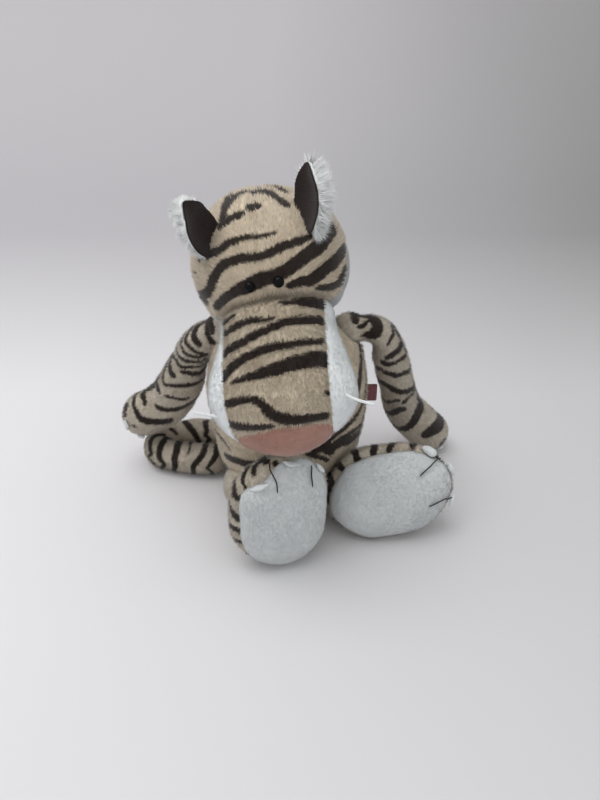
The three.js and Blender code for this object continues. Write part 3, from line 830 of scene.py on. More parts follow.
def blades(roots, out, comb, look, chance):
    """Tips and base corners of the blades, leaning with the comb and with their neighbours."""
    count = len(roots)
    comb = comb - out * dots(comb, out)[:, None]
    comb = comb / np.maximum(np.linalg.norm(comb, axis=1, keepdims=True), least_comb)
    swirl = np.stack([swell(roots, look["swirl"], look["seed"] + k) for k in range(3)], -1)
    lean = comb * look["lay"] + swirl * look["loose"] + chance.normal(size=(count, 3)) * look["stray"]
    way = unit(out + lean)
    way = unit(way + out * np.maximum(lowest_rise - dots(way, out), 0)[:, None])
    long = look["long"] * (1 + long_noise * chance.normal(size=count))
    long = long * (1 + patch_noise * swell(roots, patch_size, look["seed"] + 5))
    tips = roots + way * np.clip(long, look["long"] * shortest, look["long"] * longest)[:, None]
    tips, tuft = gathered(roots, tips, swirl, look, chance)
    way = unit(tips - roots)
    side = unit(np.cross(way, out) + 1e-4)
    other = np.cross(way, side)
    base = []
    for turn in (90, 210, 330):
        c, s = math.cos(math.radians(turn)), math.sin(math.radians(turn))
        base.append(roots - out * root_depth + side * c * look["wide"] / 2 + other * s * look["wide"] / 3)
    return base, tips, tuft


print("blades are", shortest, "to", longest, "times as long as their look says")

# %% Joining skin and blades
def write_mesh(skin, parts):
    """Puts skin and blades into one mesh, with their attributes, map and normals."""
    mesh = bpy.data.meshes.new(skin.name)
    mesh.vertices.add(len(parts["spots"]))
    mesh.vertices.foreach_set("co", parts["spots"].astype(np.float32).ravel())
    mesh.loops.add(len(parts["loops"]))
    mesh.loops.foreach_set("vertex_index", parts["loops"].astype(np.int32))
    mesh.polygons.add(len(parts["starts"]))
    mesh.polygons.foreach_set("loop_start", parts["starts"].astype(np.int32))
    chart = mesh.uv_layers.new(name="OFBake")
    chart.data.foreach_set("uv", parts["chart"].astype(np.float32).ravel())
    for name in ("stripe", "tint_and_shade", "tip"):
        values = parts[name].astype(np.float32)
        mesh.attributes.new(name, "FLOAT", "POINT").data.foreach_set("value", values)
    mesh.update(calc_edges=True)
    mesh.validate()
    mesh.polygons.foreach_set("use_smooth", np.ones(len(mesh.polygons), bool))
    mesh.normals_split_custom_set_from_vertices(parts["normals"].astype(np.float32))
    old = skin.data
    for material in old.materials:
        mesh.materials.append(material)
    skin.data = mesh
    bpy.data.meshes.remove(old)


def lay_out(skin):
    """The skin's own flat map."""
    only(skin)
    skin.data.uv_layers.new(name="OFBake")
    bpy.ops.object.mode_set(mode="EDIT")
    bpy.ops.mesh.select_all(action="SELECT")
    bpy.ops.uv.smart_project(angle_limit=math.radians(66), island_margin=0.004)
    bpy.ops.object.mode_set(mode="OBJECT")


print("skins get flat maps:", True)

# %% Piled pieces
pile_look = {
    "long": 2.3 * mm, "wide": 0.52 * mm, "lay": 0.95, "loose": 0.22, "stray": 0.24, "tuft": 1.5 * mm,
    "gather": 0.45, "swirl": 13 * mm, "thick": 1.6, "lift": 0.0, "shine": 0.4, "speckle": 1.2,
}
smooth_look = {
    "long": 1.2 * mm, "wide": 0.45 * mm, "lay": 1.2, "loose": 0.06, "stray": 0.14, "gather": 0.2,
    "thick": 2.0, "shine": 0.1, "speckle": 0.25,
}
blade_sides = np.array([(0, 1, 3), (1, 2, 3), (2, 0, 3), (0, 2, 1)])
# blade_tips and skin_tip feed painted shade in the pile: the roots and the skin under the blades are
# painted darker than the tips.
blade_tips = [0.35, 0.35, 0.35, 1.0]
skin_tip = 0.25
print_share = 0.65
fringe_noise = 0.12 * mm
print_edge = 0.8 * mm
blade_tint, tuft_tint = 0.6, 0.8
cloth_normal = 0.8
floor_clear = 0.05 * mm
made_blades = 0


def pile(skin, comb, look=None, dark=None, bare=None, shade=None, wall=0.0, seed=0):
    """Grows pile on a finished skin.

    dark are stripe samples, bare says where nothing grows, and shade where painted shade makes it darker.
    """
    global made_blades
    look = {**pile_look, **(look or {}), "seed": seed}
    chance = np.random.default_rng(seed)
    lay_out(skin)
    roots, out, chart = sow(skin, look["thick"], chance)
    keep = np.ones(len(roots), bool) if bare is None else ~bare(roots, out)
    roots, out, chart = roots[keep], out[keep], chart[keep]
    if wall:
        apply_modifier(skin, "SOLIDIFY", thickness=wall, offset=-1)
    base, tips, tuft = blades(roots, out, comb(roots), look, chance)
    for spots in (*base, tips):
        spots[:, 2] = np.maximum(spots[:, 2], floor_clear)
    count = len(roots)
    fray = (chance.normal(size=count) + tuft) * fringe_noise
    fringe = edge_distance(roots * (1 - print_share) + tips * print_share, dark, out) + fray
    tint_and_shade = (chance.normal(size=count) * blade_tint + tuft * tuft_tint) * look["speckle"]
    mesh = skin.data
    skin_spots, skin_out = spots_of(skin), normals_of(skin)
    skin_print = np.clip(0.5 - edge_distance(skin_spots, dark, skin_out) / print_edge, 0, 1)
    skin_painted_shade = np.zeros(len(skin_spots))
    # Painted shade: where shade says so, the blades and the skin are painted darker.
    if shade is not None:
        tint_and_shade = tint_and_shade - shade(roots)
        skin_painted_shade = -shade(skin_spots)
    loops = column(mesh.loops, "vertex_index", kind=np.int32)
    starts = column(mesh.polygons, "loop_start", kind=np.int32)
    first = len(skin_spots) + np.arange(count) * 4
    soft = out * cloth_normal + unit(tips - roots) * look["shine"] + np.array((0, 0, look["lift"]))
    write_mesh(skin, {
        "spots": np.vstack([skin_spots, np.stack([*base, tips], 1).reshape(-1, 3)]),
        "loops": np.concatenate([loops, (first[:, None, None] + blade_sides).reshape(-1)]),
        "starts": np.concatenate([starts, len(loops) + np.arange(count * 4) * 3]),
        "chart": np.vstack([chart_of(mesh), np.repeat(chart, 12, 0)]),
        "stripe": np.concatenate([skin_print, np.repeat((fringe < 0).astype(float), 4)]),
        "tint_and_shade": np.concatenate([skin_painted_shade, np.repeat(tint_and_shade, 4)]),
        "tip": np.concatenate([np.full(len(skin_spots), skin_tip), np.tile(blade_tips, count)]),
        "normals": np.vstack([skin_out, np.repeat(unit(soft), 4, 0)]),
    })
    made_blades += count
    print(skin.name, count, "blades,", count * 4 + len(starts) * 2, "faces or so")


# %% [markdown]
# ## Cloth materials
# The pile is one cloth in six dyes; the sole dye is the white painted greyer as shade, for the
# soles and the jowls. Its colour wanders a little with the lie of the pile, and has painted shade:
# it is darker down at the roots and paler at the tips. The printed stripe is a warm black. The ear
# fronts are a fine dark knit, the claws a white felt, and the eyes glossy black beads.

# %% Pile cloth
pile_colours = {
    "striped": (linear(214, 200, 178), linear(190, 170, 148)),
    "limb": (linear(212, 202, 186), linear(186, 171, 153)),
    "white": (linear(249, 252, 253), linear(238, 242, 244)),
    # sole is the white painted greyer, as shade on the soles and under the head.
    "sole": (linear(217, 220, 221), linear(203, 206, 208)),
    "pink": (linear(186, 142, 128), linear(160, 114, 101)),
    "fur": (linear(250, 251, 251), linear(236, 239, 240)),
}
# Painted shade in the pile: the share of the colour kept at the roots, and what is added towards the tips.
pile_lights = {
    "striped": (0.80, 0.26), "limb": (0.80, 0.26), "white": (0.90, 0.12), "sole": (0.90, 0.12),
    "pink": (0.84, 0.20), "fur": (0.92, 0.10),
}
tint_light = 0.11
stripe_black, stripe_brown = linear(38, 29, 25), linear(54, 43, 37)
tufted_dyes = ("striped", "limb", "fur")


def pile_cloth(dye):
    cloth = Cloth(dye + "_pile")
    pale, deep = pile_colours[dye]
    drift = cloth.ramp(cloth.noise(16 * mm, 2), 0.3, 0.7)
    streak = cloth.ramp(cloth.noise(2.6 * mm, 3, 0.6), 0.25, 0.75)
    colour = cloth.blend(drift * 0.4 + streak * 0.22, pale, deep)
    dark = cloth.blend(streak, stripe_black, stripe_brown)
    colour = cloth.blend(cloth.attribute("stripe"), colour, dark)
    # Painted shade: the colour is painted darker towards the roots, and darker still where a piece's shade
    # is painted in, besides its random tint.
    low, rise = pile_lights[dye]
    light = low + rise * cloth.attribute("tip") + tint_light * cloth.attribute("tint_and_shade")
    shade = cloth.node("ShaderNodeCombineColor", {}, {0: light, 1: light, 2: light})
    cloth.set(Base_Color=cloth.blend(1.0, colour, shade, "MULTIPLY"), Roughness=0.82 + 0.1 * streak,
              Specular_IOR_Level=0.25, Sheen_Weight=0.25, Sheen_Roughness=0.5)
    cloth.bump(cloth.noise(0.9 * mm, 2), 0.4 if dye in tufted_dyes else 0.1, 0.4 * mm)
    return cloth.material


dyes = {dye: pile_cloth(dye) for dye in pile_colours}
print("dyes:", *dyes)

# %% Knit and felt
def knit_cloth():
    cloth = Cloth("dark_knit")
    rows = cloth.bands(1.1 * mm, "Z", 2.5, 1.0)
    fuzz = cloth.noise(0.7 * mm, 3, 0.7)
    worn = cloth.noise(8 * mm, 2)
    colour = cloth.blend(cloth.ramp(rows * 0.6 + fuzz * 0.5 + worn * 0.3, 0.3, 1.1),
                         linear(20, 12, 11), linear(46, 33, 30))
    cloth.set(Base_Color=colour, Roughness=0.9, Specular_IOR_Level=0.2, Sheen_Weight=0.15)
    cloth.bump(rows * 0.7 + fuzz * 0.5, 0.7, 0.5 * mm)
    return cloth.material


def felt_white():
    cloth = Cloth("white_felt")
    fuzz = cloth.noise(0.6 * mm, 4, 0.7)
    patch = cloth.noise(4 * mm, 2)
    colour = cloth.blend(fuzz * 0.6 + patch * 0.3, linear(222, 225, 226), linear(198, 202, 204))
    cloth.set(Base_Color=colour, Roughness=0.95, Sheen_Weight=0.3)
    cloth.bump(fuzz, 0.6, 0.3 * mm)
    return cloth.material


knit, felt = knit_cloth(), felt_white()
print("trim:", knit.name, felt.name)


# %% Thread, cord and ribbon
def black_thread():
    cloth = Cloth("black_thread")
    twist = cloth.noise(0.4 * mm, 3, 0.7)
    cloth.set(Base_Color=cloth.blend(twist, linear(24, 20, 20), linear(58, 50, 48)), Roughness=0.8)
    cloth.bump(twist, 0.6, 0.15 * mm)
    return cloth.material


def waxed_cord():
    cloth = Cloth("waxed_cord")
    twist = cloth.bands(1.2 * mm, "DIAGONAL", 0.6)
    fuzz = cloth.noise(0.5 * mm, 3)
    colour = cloth.blend(twist * 0.5 + fuzz * 0.4, linear(240, 242, 243), linear(208, 212, 214))
    cloth.set(Base_Color=colour, Roughness=0.55 + 0.2 * fuzz)
    cloth.bump(twist + fuzz * 0.4, 0.5, 0.2 * mm)
    return cloth.material


def ribbon_burgundy():
    cloth = Cloth("burgundy_ribbon")
    weave = cloth.bands(0.5 * mm, "Z", 0.3) * 0.5 + cloth.bands(0.5 * mm, "X", 0.3) * 0.5
    colour = cloth.blend(weave * 0.7 + cloth.noise(3 * mm) * 0.3, linear(108, 52, 60), linear(148, 88, 96))
    cloth.set(Base_Color=colour, Roughness=0.45 + 0.25 * weave, Sheen_Weight=0.3)
    cloth.bump(weave, 0.5, 0.15 * mm)
    return cloth.material


thread_black, cord_white = black_thread(), waxed_cord()
print("trim:", thread_black.name, cord_white.name)

# %% Beads and washers
def bead_black():
    cloth = Cloth("bead_black")
    haze = cloth.noise(1.5 * mm, 3)
    colour = cloth.blend(haze, linear(4, 4, 4), linear(12, 11, 11))
    cloth.set(Base_Color=colour, Roughness=0.06 + 0.12 * haze, Specular_IOR_Level=0.12)
    return cloth.material


def clear_nylon():
    cloth = Cloth("clear_nylon")
    haze = cloth.noise(1.5 * mm, 3)
    colour = cloth.blend(haze, linear(222, 222, 218), linear(198, 198, 192))
    cloth.set(Base_Color=colour, Roughness=0.3 + 0.2 * haze)
    cloth.bump(haze, 0.2, 0.1 * mm)
    return cloth.material


eye_black, nylon = bead_black(), clear_nylon()
for name in hands.values():
    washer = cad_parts[name + "_eye_washer"]
    washer.data.materials.clear()
    washer.data.materials.append(nylon)
    print(washer.name, "is now", nylon.name)


# %% Taking the place of solids
def stands_for(thing, body_name, slot_name, *nodes, fill=None):
    """The piece rides on its body in place of its nodes."""
    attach(thing, body_name)
    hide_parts(*nodes)
    print(thing.name, "rides on", body_name)


# %% [markdown]
# ## Body
# A pear of filling with a flat seat. The limbs are sewn into it, so its cloth dips in round each
# root. A root could be joined to the body in one skin, but a ball in a dip can also turn at its
# joint. The stripes are broad rings that break and fork on the way round.

# %% Body stripes
body_stripe_rows = [
    ([1.9], (.895, -1), (.873, -23)),
    ([1.1, 3.1, 4, 4.8, 4.4, 4, 4, 4.1, 4.7], (.875, 12), (.870, -3), (.826, -14), (.768, -18),
     (.721, -23), (.668, -28), (.621, -33), (.582, -38), (.540, -45), (.510, -53), (.479, -62)),
    ([1.2, 2.8, 3.2, 3.1, 3.2], (.66, 2), (.637, -13), (.596, -17), (.557, -25), (.521, -34),
     (.493, -43), (.468, -53), (.440, -61)),
    ([.9, 3.1, 3, 5.4, 6.1], (.535, 2), (.524, -12), (.476, -15), (.460, -29), (.449, -42), (.429, -52),
     (.410, -61)),
    ([3, 2.4], (.415, -76), (.396, -67), (.368, -57)),
    ([6.2], (.432, -58), (.424, -71)),
    ([5.5], (.425, -20), (.421, -36), (.421, -52), (.393, -57)),
    ([1.5], (.50, -160), (.485, -149), (.468, -141), (.451, -130)),
    ([1.1], (.424, -170), (.418, -150), (.385, -138)),
    ([4, 5, 3], (.20, 150), (.23, 190), (.21, 230), (.24, 270)),
    ([5, 7, 4], (.31, 20), (.33, 60), (.30, 100), (.33, 140), (.31, 175)),
    ([5, 7, 5, 3], (.50, 16), (.50, 30), (.53, 60), (.50, 95), (.52, 125)),
    ([4, 6, 4], (.62, 60), (.64, 100), (.61, 150), (.64, 185)),
    ([6, 8, 5], (.74, 12), (.72, 30), (.75, 60), (.72, 95)),
    ([4, 6, 4], (.73, 130), (.76, 170), (.73, 185)),
    ([4, 7, 5], (.87, 40), (.84, 90), (.87, 150), (.85, 180)),
    ([4, 5, 3], (.12, 30), (.14, 80), (.11, 130)),
    ([5, 6, 3], (.34, -150), (.36, -110), (.33, -75)),
    ([4, 4], (.26, -160), (.24, -120), (.27, -80), (.25, -40)),
]

print("body stripes:", len(body_stripe_rows))

# %% How pile lies, and where none grows
floor_bare = 0.3 * mm
down = (0.0, 0.0, -1.0)


def combed(way):
    """Brushes all of a piece one way."""
    return lambda spots: np.tile(way, (len(spots), 1))


def on_floor(spots, out=None):
    return spots[:, 2] < floor_bare


def within(spots, place, radius):
    return np.linalg.norm(spots - place, axis=1) < radius


print("no pile grows under", floor_bare / mm, "mm")

# %% Body
root_slim = {-1: 0.0, 1: 1.2 * mm}
root_cover = 0.5 * mm


def make_body():
    skin = joined("body_pile", [drawn(body)])
    lump(skin, 38 * mm, 0.8 * mm, 11)
    roots = [(neck_spot, neck_ball)]
    for hand in hands:
        roots += [(shoulder_spot[hand], shoulder_ball - root_slim[hand]), (hip_spot[hand], hip_ball)]
    roots.append((tail_root, tail_ball))
    for spot, radius in roots:
        hollow(skin, spot, radius + gap)
    press_flat(skin)
    skin.data.materials.append(dyes["striped"])

    def bare(spots, out):
        hidden = on_floor(spots)
        for spot, radius in roots:
            hidden |= within(spots, spot, radius + root_cover)
        return hidden

    pile(skin, combed(down), dark=on_form(body, body_stripe_rows), bare=bare,
         look={"thick": 1.0}, seed=21)
    stands_for(skin, "torso", "striped_pile", "body_skin", "body_filling", "seat_pellet_bag", fill=0.7)


make_body()

# %% Neck
neck_ring_turn = 5.5
neck_ring_high = 0.1


def make_neck():
    skin = joined("neck_collar_pile", [ball_of(neck_spot, neck_ball - pile_room)])
    skin.data.materials.append(dyes["striped"])
    ring = [neck_spot + np.array((math.cos(turn), math.sin(turn), neck_ring_high)) * neck_ball
            for turn in np.linspace(0, neck_ring_turn, 12)]
    pile(skin, combed(down), dark=marks(ring, [4, 5, 4]), look={"long": 1.6 * mm}, seed=22)
    stands_for(skin, "neck", "striped_pile", "neck_collar", "neck_filling", fill=0.8)


make_neck()

# %% [markdown]
# ## Head
# The head is a round dome with a long barrel muzzle, cut into ten panels. It is made as one
# smooth filled form, drawn in along every seam, and then cut along the seam planes, so that the
# panels meet exactly, each with its own dye and wall.

# %% Seams of the head
muzzle_seam = 31.5 * mm
band_half = 30 * mm
nose_seam = 104 * mm
nose_taper_start = 96 * mm
nose_taper = 6
nose_low = 4 * mm
gusset_high = 6 * mm
gusset_back = 6 * mm
seam_step = 0.05 * mm
panel_names = ["right_crown", "left_crown", "nape_panel", "right_jowl", "left_jowl", "muzzle_band",
               "nose_patch", "chin_panel", "right_cheek", "left_cheek"]


def band_planes():
    """Edges of the strip between the cheeks: a place and an inward direction each."""
    planes = []
    for hand in hands:
        inward = -hand * muzzle_side
        edge = muzzle_root + hand * band_half * muzzle_side
        taper = math.radians(-hand * nose_taper)
        turn = np.array(Matrix.Rotation(taper, 3, "Z"))
        corner = edge + muzzle_ahead * (nose_taper_start + muzzle_root[1])
        planes += [(edge, inward), (corner, turn @ inward)]
    return planes


band_edges = band_planes()
brow_seam = [(np.array((0, -muzzle_seam, 0)), np.array((0, -1.0, 0)))]
other_seams = [
    (np.zeros(3), np.array((1.0, 0, 0))),
    (np.array((0, 0, gusset_high)), np.array((0, 0, 1.0))),
    (np.array((0, gusset_back, 0)), np.array((0, 1.0, 0))),
    (np.array((0, -nose_seam, 0)), np.array((0, -1.0, 0))),
    (np.array((0, 0, -nose_low)), np.array((0, 0, 1.0))),
    *band_edges,
]


def panel_at(spots):
    """Which panel of the head a place in its own frame belongs to."""
    x, y, z = spots.T
    inside = np.ones(len(spots), bool)
    for place, inward in band_edges:
        inside &= (spots - place) @ inward > 0
    aside = (spots - muzzle_root) @ muzzle_side
    band = np.where(z < -nose_low, "chin_panel", np.where(y < -nose_seam, "nose_patch", "muzzle_band"))
    before = np.where(inside, band, np.where(aside < 0, "right_cheek", "left_cheek"))
    low = np.where(y > gusset_back, "nape_panel", np.where(x < 0, "right_jowl", "left_jowl"))
    behind = np.where(z > gusset_high, np.where(x < 0, "right_crown", "left_crown"), low)
    return np.where(y < -muzzle_seam, before, behind)


def seam_distance(spots, planes):
    """How far each place is from the nearest seam that lies in those planes."""
    own = panel_at(spots)
    near = np.full(len(spots), 1.0)
    for place, way in planes:
        apart = (spots - place) @ way
        across = spots - np.outer(apart + np.sign(apart) * seam_step, way)
        real = panel_at(across) != own
        near = np.where(real, np.minimum(near, np.abs(apart)), near)
    return near


print("seam planes:", len(brow_seam + other_seams))

# %% The head in one
seam_draw, seam_wide = 1.0 * mm, 2.0 * mm
seam_pucker, seam_pucker_size = 0.3, 7 * mm
brow_draw, brow_wide = 2.8 * mm, 1.7 * mm
brow_puff, brow_puff_off, brow_puff_wide = 0.9 * mm, 5 * mm, 3 * mm


def make_head_form():
    dome = ball_of(np.zeros(3), dome_half - pile_room)
    skin = joined("head_form", [dome, drawn(muzzle)], size=1.7 * mm, rounds=8)
    lump(skin, 34 * mm, 0.7 * mm, 31)
    hollow(skin, to_head(neck_spot), neck_ball + gap)
    spots = spots_of(skin)
    pucker = 1 + seam_pucker * swell(spots, seam_pucker_size, 32)
    draw = seam_draw * pucker * hill(seam_distance(spots, other_seams), seam_wide)
    brow = seam_distance(spots, brow_seam)
    draw += brow_draw * hill(brow, brow_wide) - brow_puff * hill(brow - brow_puff_off, brow_puff_wide)
    push_out(skin, -draw)
    print(skin.name, len(skin.data.polygons), "faces")
    return skin


def panel_of(skin, name):
    """A copy of the head that keeps one panel's faces."""
    thing = copy_of(skin, name + "_pile")
    mesh = bmesh.new()
    mesh.from_mesh(thing.data)
    own = panel_at(np.array([face.calc_center_median() for face in mesh.faces]))
    others = [face for face, panel in zip(mesh.faces, own) if panel != name]
    bmesh.ops.delete(mesh, geom=others, context="FACES")
    mesh.to_mesh(thing.data)
    mesh.free()
    move_to(thing, to_world(spots_of(thing)))
    return thing


# %% Stripes of the head
crown_stripe_rows = [
    ([4.1, 5.3, 6.4, 5.6], (-.42, .35), (-.38, .52), (-.29, .69), (-.17, .80), (-.06, .83)),
    ([5.7, 6.1, 4.6, 4.5], (-.01, .84), (.15, .75), (.27, .63), (.38, .47), (.46, .39)),
    ([5.2, 4.9, 4.4], (-.48, .30), (-.35, .33), (-.24, .35), (-.11, .36)),
    ([7.9, 5.3, 1.6], (-.05, .43), (.02, .45), (.11, .42)),
    ([2.6], (-.43, .59), (-.39, .70), (-.33, .9)),
    ([2.7], (.02, 1.02), (.20, 1.01), (.34, .88), (.46, .73)),
    ([3.8, 4.7, 4.7, 3.4, 2.1, 1], (-.90, .03), (-.71, 0), (-.53, -.03), (-.37, .01), (-.21, .03),
     (-.04, .02), (.13, .01), (.28, .04)),
    ([5.5, 5.2, 6, 5.2, 4.7, 4.3, 4.3, 4, 1.4], (-1.24, -.45), (-.88, -.47), (-.70, -.36), (-.48, -.23),
     (-.30, -.20), (-.07, -.22), (.12, -.21), (.31, -.14), (.50, -.09), (.68, -.01), (.75, .05)),
    ([4.5, 5, 5.4, 7.6, 7.8, 6.6, 7, 7.4, 7.8, 8.2, 8.7], (-.87, -.73), (-.68, -.66), (-.46, -.585),
     (-.30, -.555), (-.17, -.53), (.01, -.49), (.19, -.465), (.37, -.39), (.58, -.26), (.77, -.14),
     (.97, .09), (1.12, .24)),
    ([2.6, 5.2, 6.9, 6.6, 7, 6.7, 4], (.26, -.62), (.45, -.59), (.61, -.57), (.80, -.46), (.98, -.36),
     (1.21, -.17), (1.36, 0)),
    ([2.7, 4.1, 4.4, 6.6, 4.5], (.66, -.69), (.86, -.70), (1.08, -.65), (1.25, -.48), (1.36, -.31)),
    ([2], (-1.09, -.08), (-1.01, -.16)),
    ([6, 7], (-1.24, -.45), (-1.10, -.55), (-1.02, -.62)),
    ([5, 6, 4], (-1.1, .3), (-.95, .55), (-.8, .8)),
    ([5, 7, 5], (-.9, 1.15), (-.55, 1.35), (-.1, 1.45), (.4, 1.38), (.8, 1.2)),
    ([5, 6, 4], (.95, .55), (.85, .85), (.62, 1.1)),
    ([5, 7, 4], (-1.3, 1.2), (-.7, 1.75), (0, 1.85), (.6, 1.75)),
    ([5, 7, 4], (1.3, .7), (1.2, 1.1), (.95, 1.5)),
    ([5, 7, 5], (-1.0, 2.0), (-.3, 2.2), (.4, 2.2), (1.0, 1.95)),
    ([4, 6, 4], (-.7, 2.5), (0, 2.6), (.7, 2.45)),
]
muzzle_stripe_rows = [
    ([2.4, 4.4, 6, 6.4, 6], (.250, 79), (.250, 66), (.250, 53), (.248, 37), (.245, 20)),
    ([2.8, 2.1, 1.1], (.299, 148), (.291, 135), (.285, 123)),
    ([2.9, 3.3, 3.6, 3.1, 2.4, 1], (.363, 145), (.346, 131), (.335, 117), (.332, 105), (.335, 93),
     (.332, 84)),
    ([5.6, 4.6, 4.2, 4.2, 4, 4.2, 4.6, 4.9, 5.2], (.468, 139), (.446, 130), (.436, 118), (.412, 106),
     (.393, 95), (.371, 83), (.352, 71), (.346, 58), (.340, 35)),
    ([6.4, 5.4, 4.8, 4.5, 4.3, 4, 3.7, 3.4, 3], (.600, 134), (.570, 129), (.537, 121), (.507, 110),
     (.491, 98), (.476, 86), (.471, 74), (.463, 62), (.454, 42)),
    ([1.5, 2.8, 4.5, 6.3, 7, 7.7, 8.3, 8.9], (.629, 124), (.615, 114), (.607, 104), (.593, 94),
     (.582, 83), (.565, 72), (.551, 59), (.546, 44)),
    ([4.3, 3.7, 3.4, 4.3, 5.5, 6.2, 6.4, 5.6, 5, 4.8], (.732, 133), (.726, 121), (.723, 110),
     (.732, 103), (.765, 98), (.807, 93), (.834, 83), (.843, 72), (.840, 59), (.829, 42)),
    ([5, 5.4, 4.8, 3.6, 2.4], (.826, 142), (.848, 130), (.862, 115), (.865, 102), (.865, 93)),
    ([1.8], (.718, 52), (.723, 45)),
]
parting_row = ([0.4], (-.08, .80), (-.13, .55), (-.14, .30), (-.14, .14))


def on_dome(rows):
    """Stripes on the dome. Places are shares of its radius, measured over it from its top."""
    out = []
    for widths, *places in rows:
        fine = smooth_line(places, 8)
        far = np.hypot(*fine.T)
        turn = np.arctan2(fine[:, 1], fine[:, 0])
        ball = np.stack([np.sin(far) * np.cos(turn), np.sin(far) * np.sin(turn), np.cos(far)], -1)
        out.append(marks(to_world(ball * dome_half)[::3], widths))
    return np.vstack(out)


def on_muzzle(rows):
    samples = on_form(muzzle, rows)
    samples[:, :3] = to_world(samples[:, :3])
    return samples


print("head stripes:", len(crown_stripe_rows), "on the dome,", len(muzzle_stripe_rows), "on the muzzle")

# %% The ten panels
crown_comb = np.array((0, 0.75, -0.25))
muzzle_comb = np.array((0, -0.9, -0.45))
comb_turn = 20 * mm
# Painted shade: the jowls and the top of the right cheek are painted darker as shade under the head, and
# the brow's seam as shade in the seam.
under_shade = 2.6
under_shade_start, under_shade_fade = 55 * mm, 18 * mm
brow_shade, brow_shade_wide = 3.2, 1.2 * mm
parting_light, parting_wide = 3, 0.5 * mm
neck_cover = 0.6 * mm
skin_wall = 1.0 * mm


def head_comb(spots):
    """Brushed back from the brow over the dome, and forward along the muzzle."""
    own = to_head(spots)
    forward = np.clip((-own[:, 1] - comb_turn) / comb_turn, 0, 1)[:, None]
    return (crown_comb * (1 - forward) + muzzle_comb * forward) @ head_axes.T


def head_shade(spots, name, parting):
    """Painted shade: darker in the brow's seam and under the head; paler along the parting."""
    own = to_head(spots)
    brow = seam_distance(own, brow_seam)
    under = under_shade if "jowl" in name else 0
    if name == "right_cheek":
        under = under_shade * np.clip((own[:, 1] + under_shade_start) / under_shade_fade, 0, 1)
    pale = parting_light * hill(edge_distance(spots, parting), parting_wide)
    return under + brow_shade * hill(brow, brow_shade_wide) - pale


def make_head():
    whole = make_head_form()
    cut_by(whole, brow_seam + other_seams)
    crown, band = on_dome(crown_stripe_rows), on_muzzle(muzzle_stripe_rows)
    prints = {"right_crown": crown, "left_crown": crown, "nape_panel": crown, "muzzle_band": band}
    parting = on_dome([parting_row])

    def bare(spots, out):
        return within(spots, neck_spot, neck_ball + neck_cover)

    for i, name in enumerate(panel_names):
        dye = "striped" if name in prints else "pink" if name == "nose_patch" else "white"
        panel = panel_of(whole, name)
        # The jowls take the sole dye, white painted greyer as shade under the head.
        panel.data.materials.append(dyes["sole" if "jowl" in name else dye])
        pile(panel, head_comb, look={"long": 2.5 * mm} if name in prints else smooth_look,
             dark=prints.get(name), bare=bare, shade=lambda spots: head_shade(spots, name, parting),
             wall=skin_wall, seed=40 + i)
        nodes = [name, "head_filling"] if name == "nape_panel" else [name]
        stands_for(panel, "head", dye + "_pile", *nodes, fill=0.8)
    bpy.data.objects.remove(whole)


make_head()

# %% [markdown]
# ## Eyes
# Small glossy beads on a shank, sunk into the pile. A turned outline would do, but a ball with
# its lower half drawn in to a neck is enough, since the pile that stands round it hides the rest.

# %% Eyes
eye_radius = 3.2 * mm
eye_spread = 8.2 * mm
eye_forward = 25 * mm
eye_proud = 0.5 * mm
eye_crown, eye_shank = 0.85, 1.3
eye_pinch = 0.45


def make_eye(hand):
    x, y = hand * eye_spread, -eye_forward
    seat = np.array((x, y, dome_high(x, y)))
    out = unit(seat / dome_half ** 2) @ head_axes.T
    bead = new_ball(40, 24, eye_radius)
    bead.name = hands[hand] + "_eye_bead"
    spots = spots_of(bead)
    below = np.clip(-spots[:, 2] / eye_radius, 0, 1)
    spots[:, :2] *= (1 - eye_pinch * below ** 2)[:, None]
    spots[:, 2] *= np.where(spots[:, 2] > 0, eye_crown, eye_shank)
    turn = Vector((0, 0, 1)).rotation_difference(Vector(out)).to_matrix()
    move_to(bead, spots @ np.array(turn).T + (to_world(seat) + out * eye_proud))
    dressed(bead, eye_black)
    stands_for(bead, "head", "eye_bead", hands[hand] + "_eye")


for hand in hands:
    make_eye(hand)

# %% [markdown]
# ## Ears
# Each ear is a dark knit front and a white long-furred back, sewn round the edge. The front is
# cupped; the back's fur stands out past it. Both halves are drawn along one line with one
# outline, so that they meet all round.

# %% Ears
ear_length = 33 * mm
ear_front_half = 11 * mm
ear_back_half = 13 * mm
ear_front_thick = 2.6 * mm
ear_back_thick = 7 * mm
ear_cup = 4 * mm
ear_curl = 3 * mm
ear_spread = 29 * mm
ear_behind = 6 * mm
ear_sink = 6 * mm
ear_edge = 1.7 * mm
ear_fur = {-1: 4.2 * mm, 1: 7.5 * mm}
ear_shares = np.array([(.72, 1, 1), (1, 1, 1), (.86, 1, 1), (.42, .7, .7)])
ear_lean = {-1: (-.12, .36, .93), 1: (.17, .85, .47)}
ear_facing = {-1: (.90, -.40, .14), 1: (-.78, -.15, .61)}
ear_look = {"wide": 0.45 * mm, "thick": 4.2, "lay": 0.9, "loose": 0.7, "stray": 0.5, "tuft": 2.2 * mm,
            "gather": 0.45, "lift": 0.7, "swirl": 9 * mm}


def ear_forms(hand):
    """The front's form, the back's form, and the ways that the ear leans and faces."""
    x = hand * ear_spread
    foot = np.array((x, ear_behind, dome_high(x, ear_behind)))
    lean = unit(ear_lean[hand])
    face = np.array(ear_facing[hand], float)
    face = unit(face - lean * (face @ lean))
    middle = foot + lean * ear_length / 2 - face * ear_curl
    places = to_world([foot - lean * ear_sink, middle, foot + lean * ear_length])
    side = np.cross(lean, face) @ head_axes.T
    forms = []
    for half, shift in (((ear_front_half + ear_edge, ear_front_thick, 0), -gap / 2),
                        ((ear_back_half - ear_edge, 0, ear_back_thick), gap / 2)):
        forms.append(Filled(places, ear_shares * half, side, ear_front_half / 2, ear_front_half,
                            cup=ear_cup, shift=shift))
    return *forms, lean @ head_axes.T, face @ head_axes.T


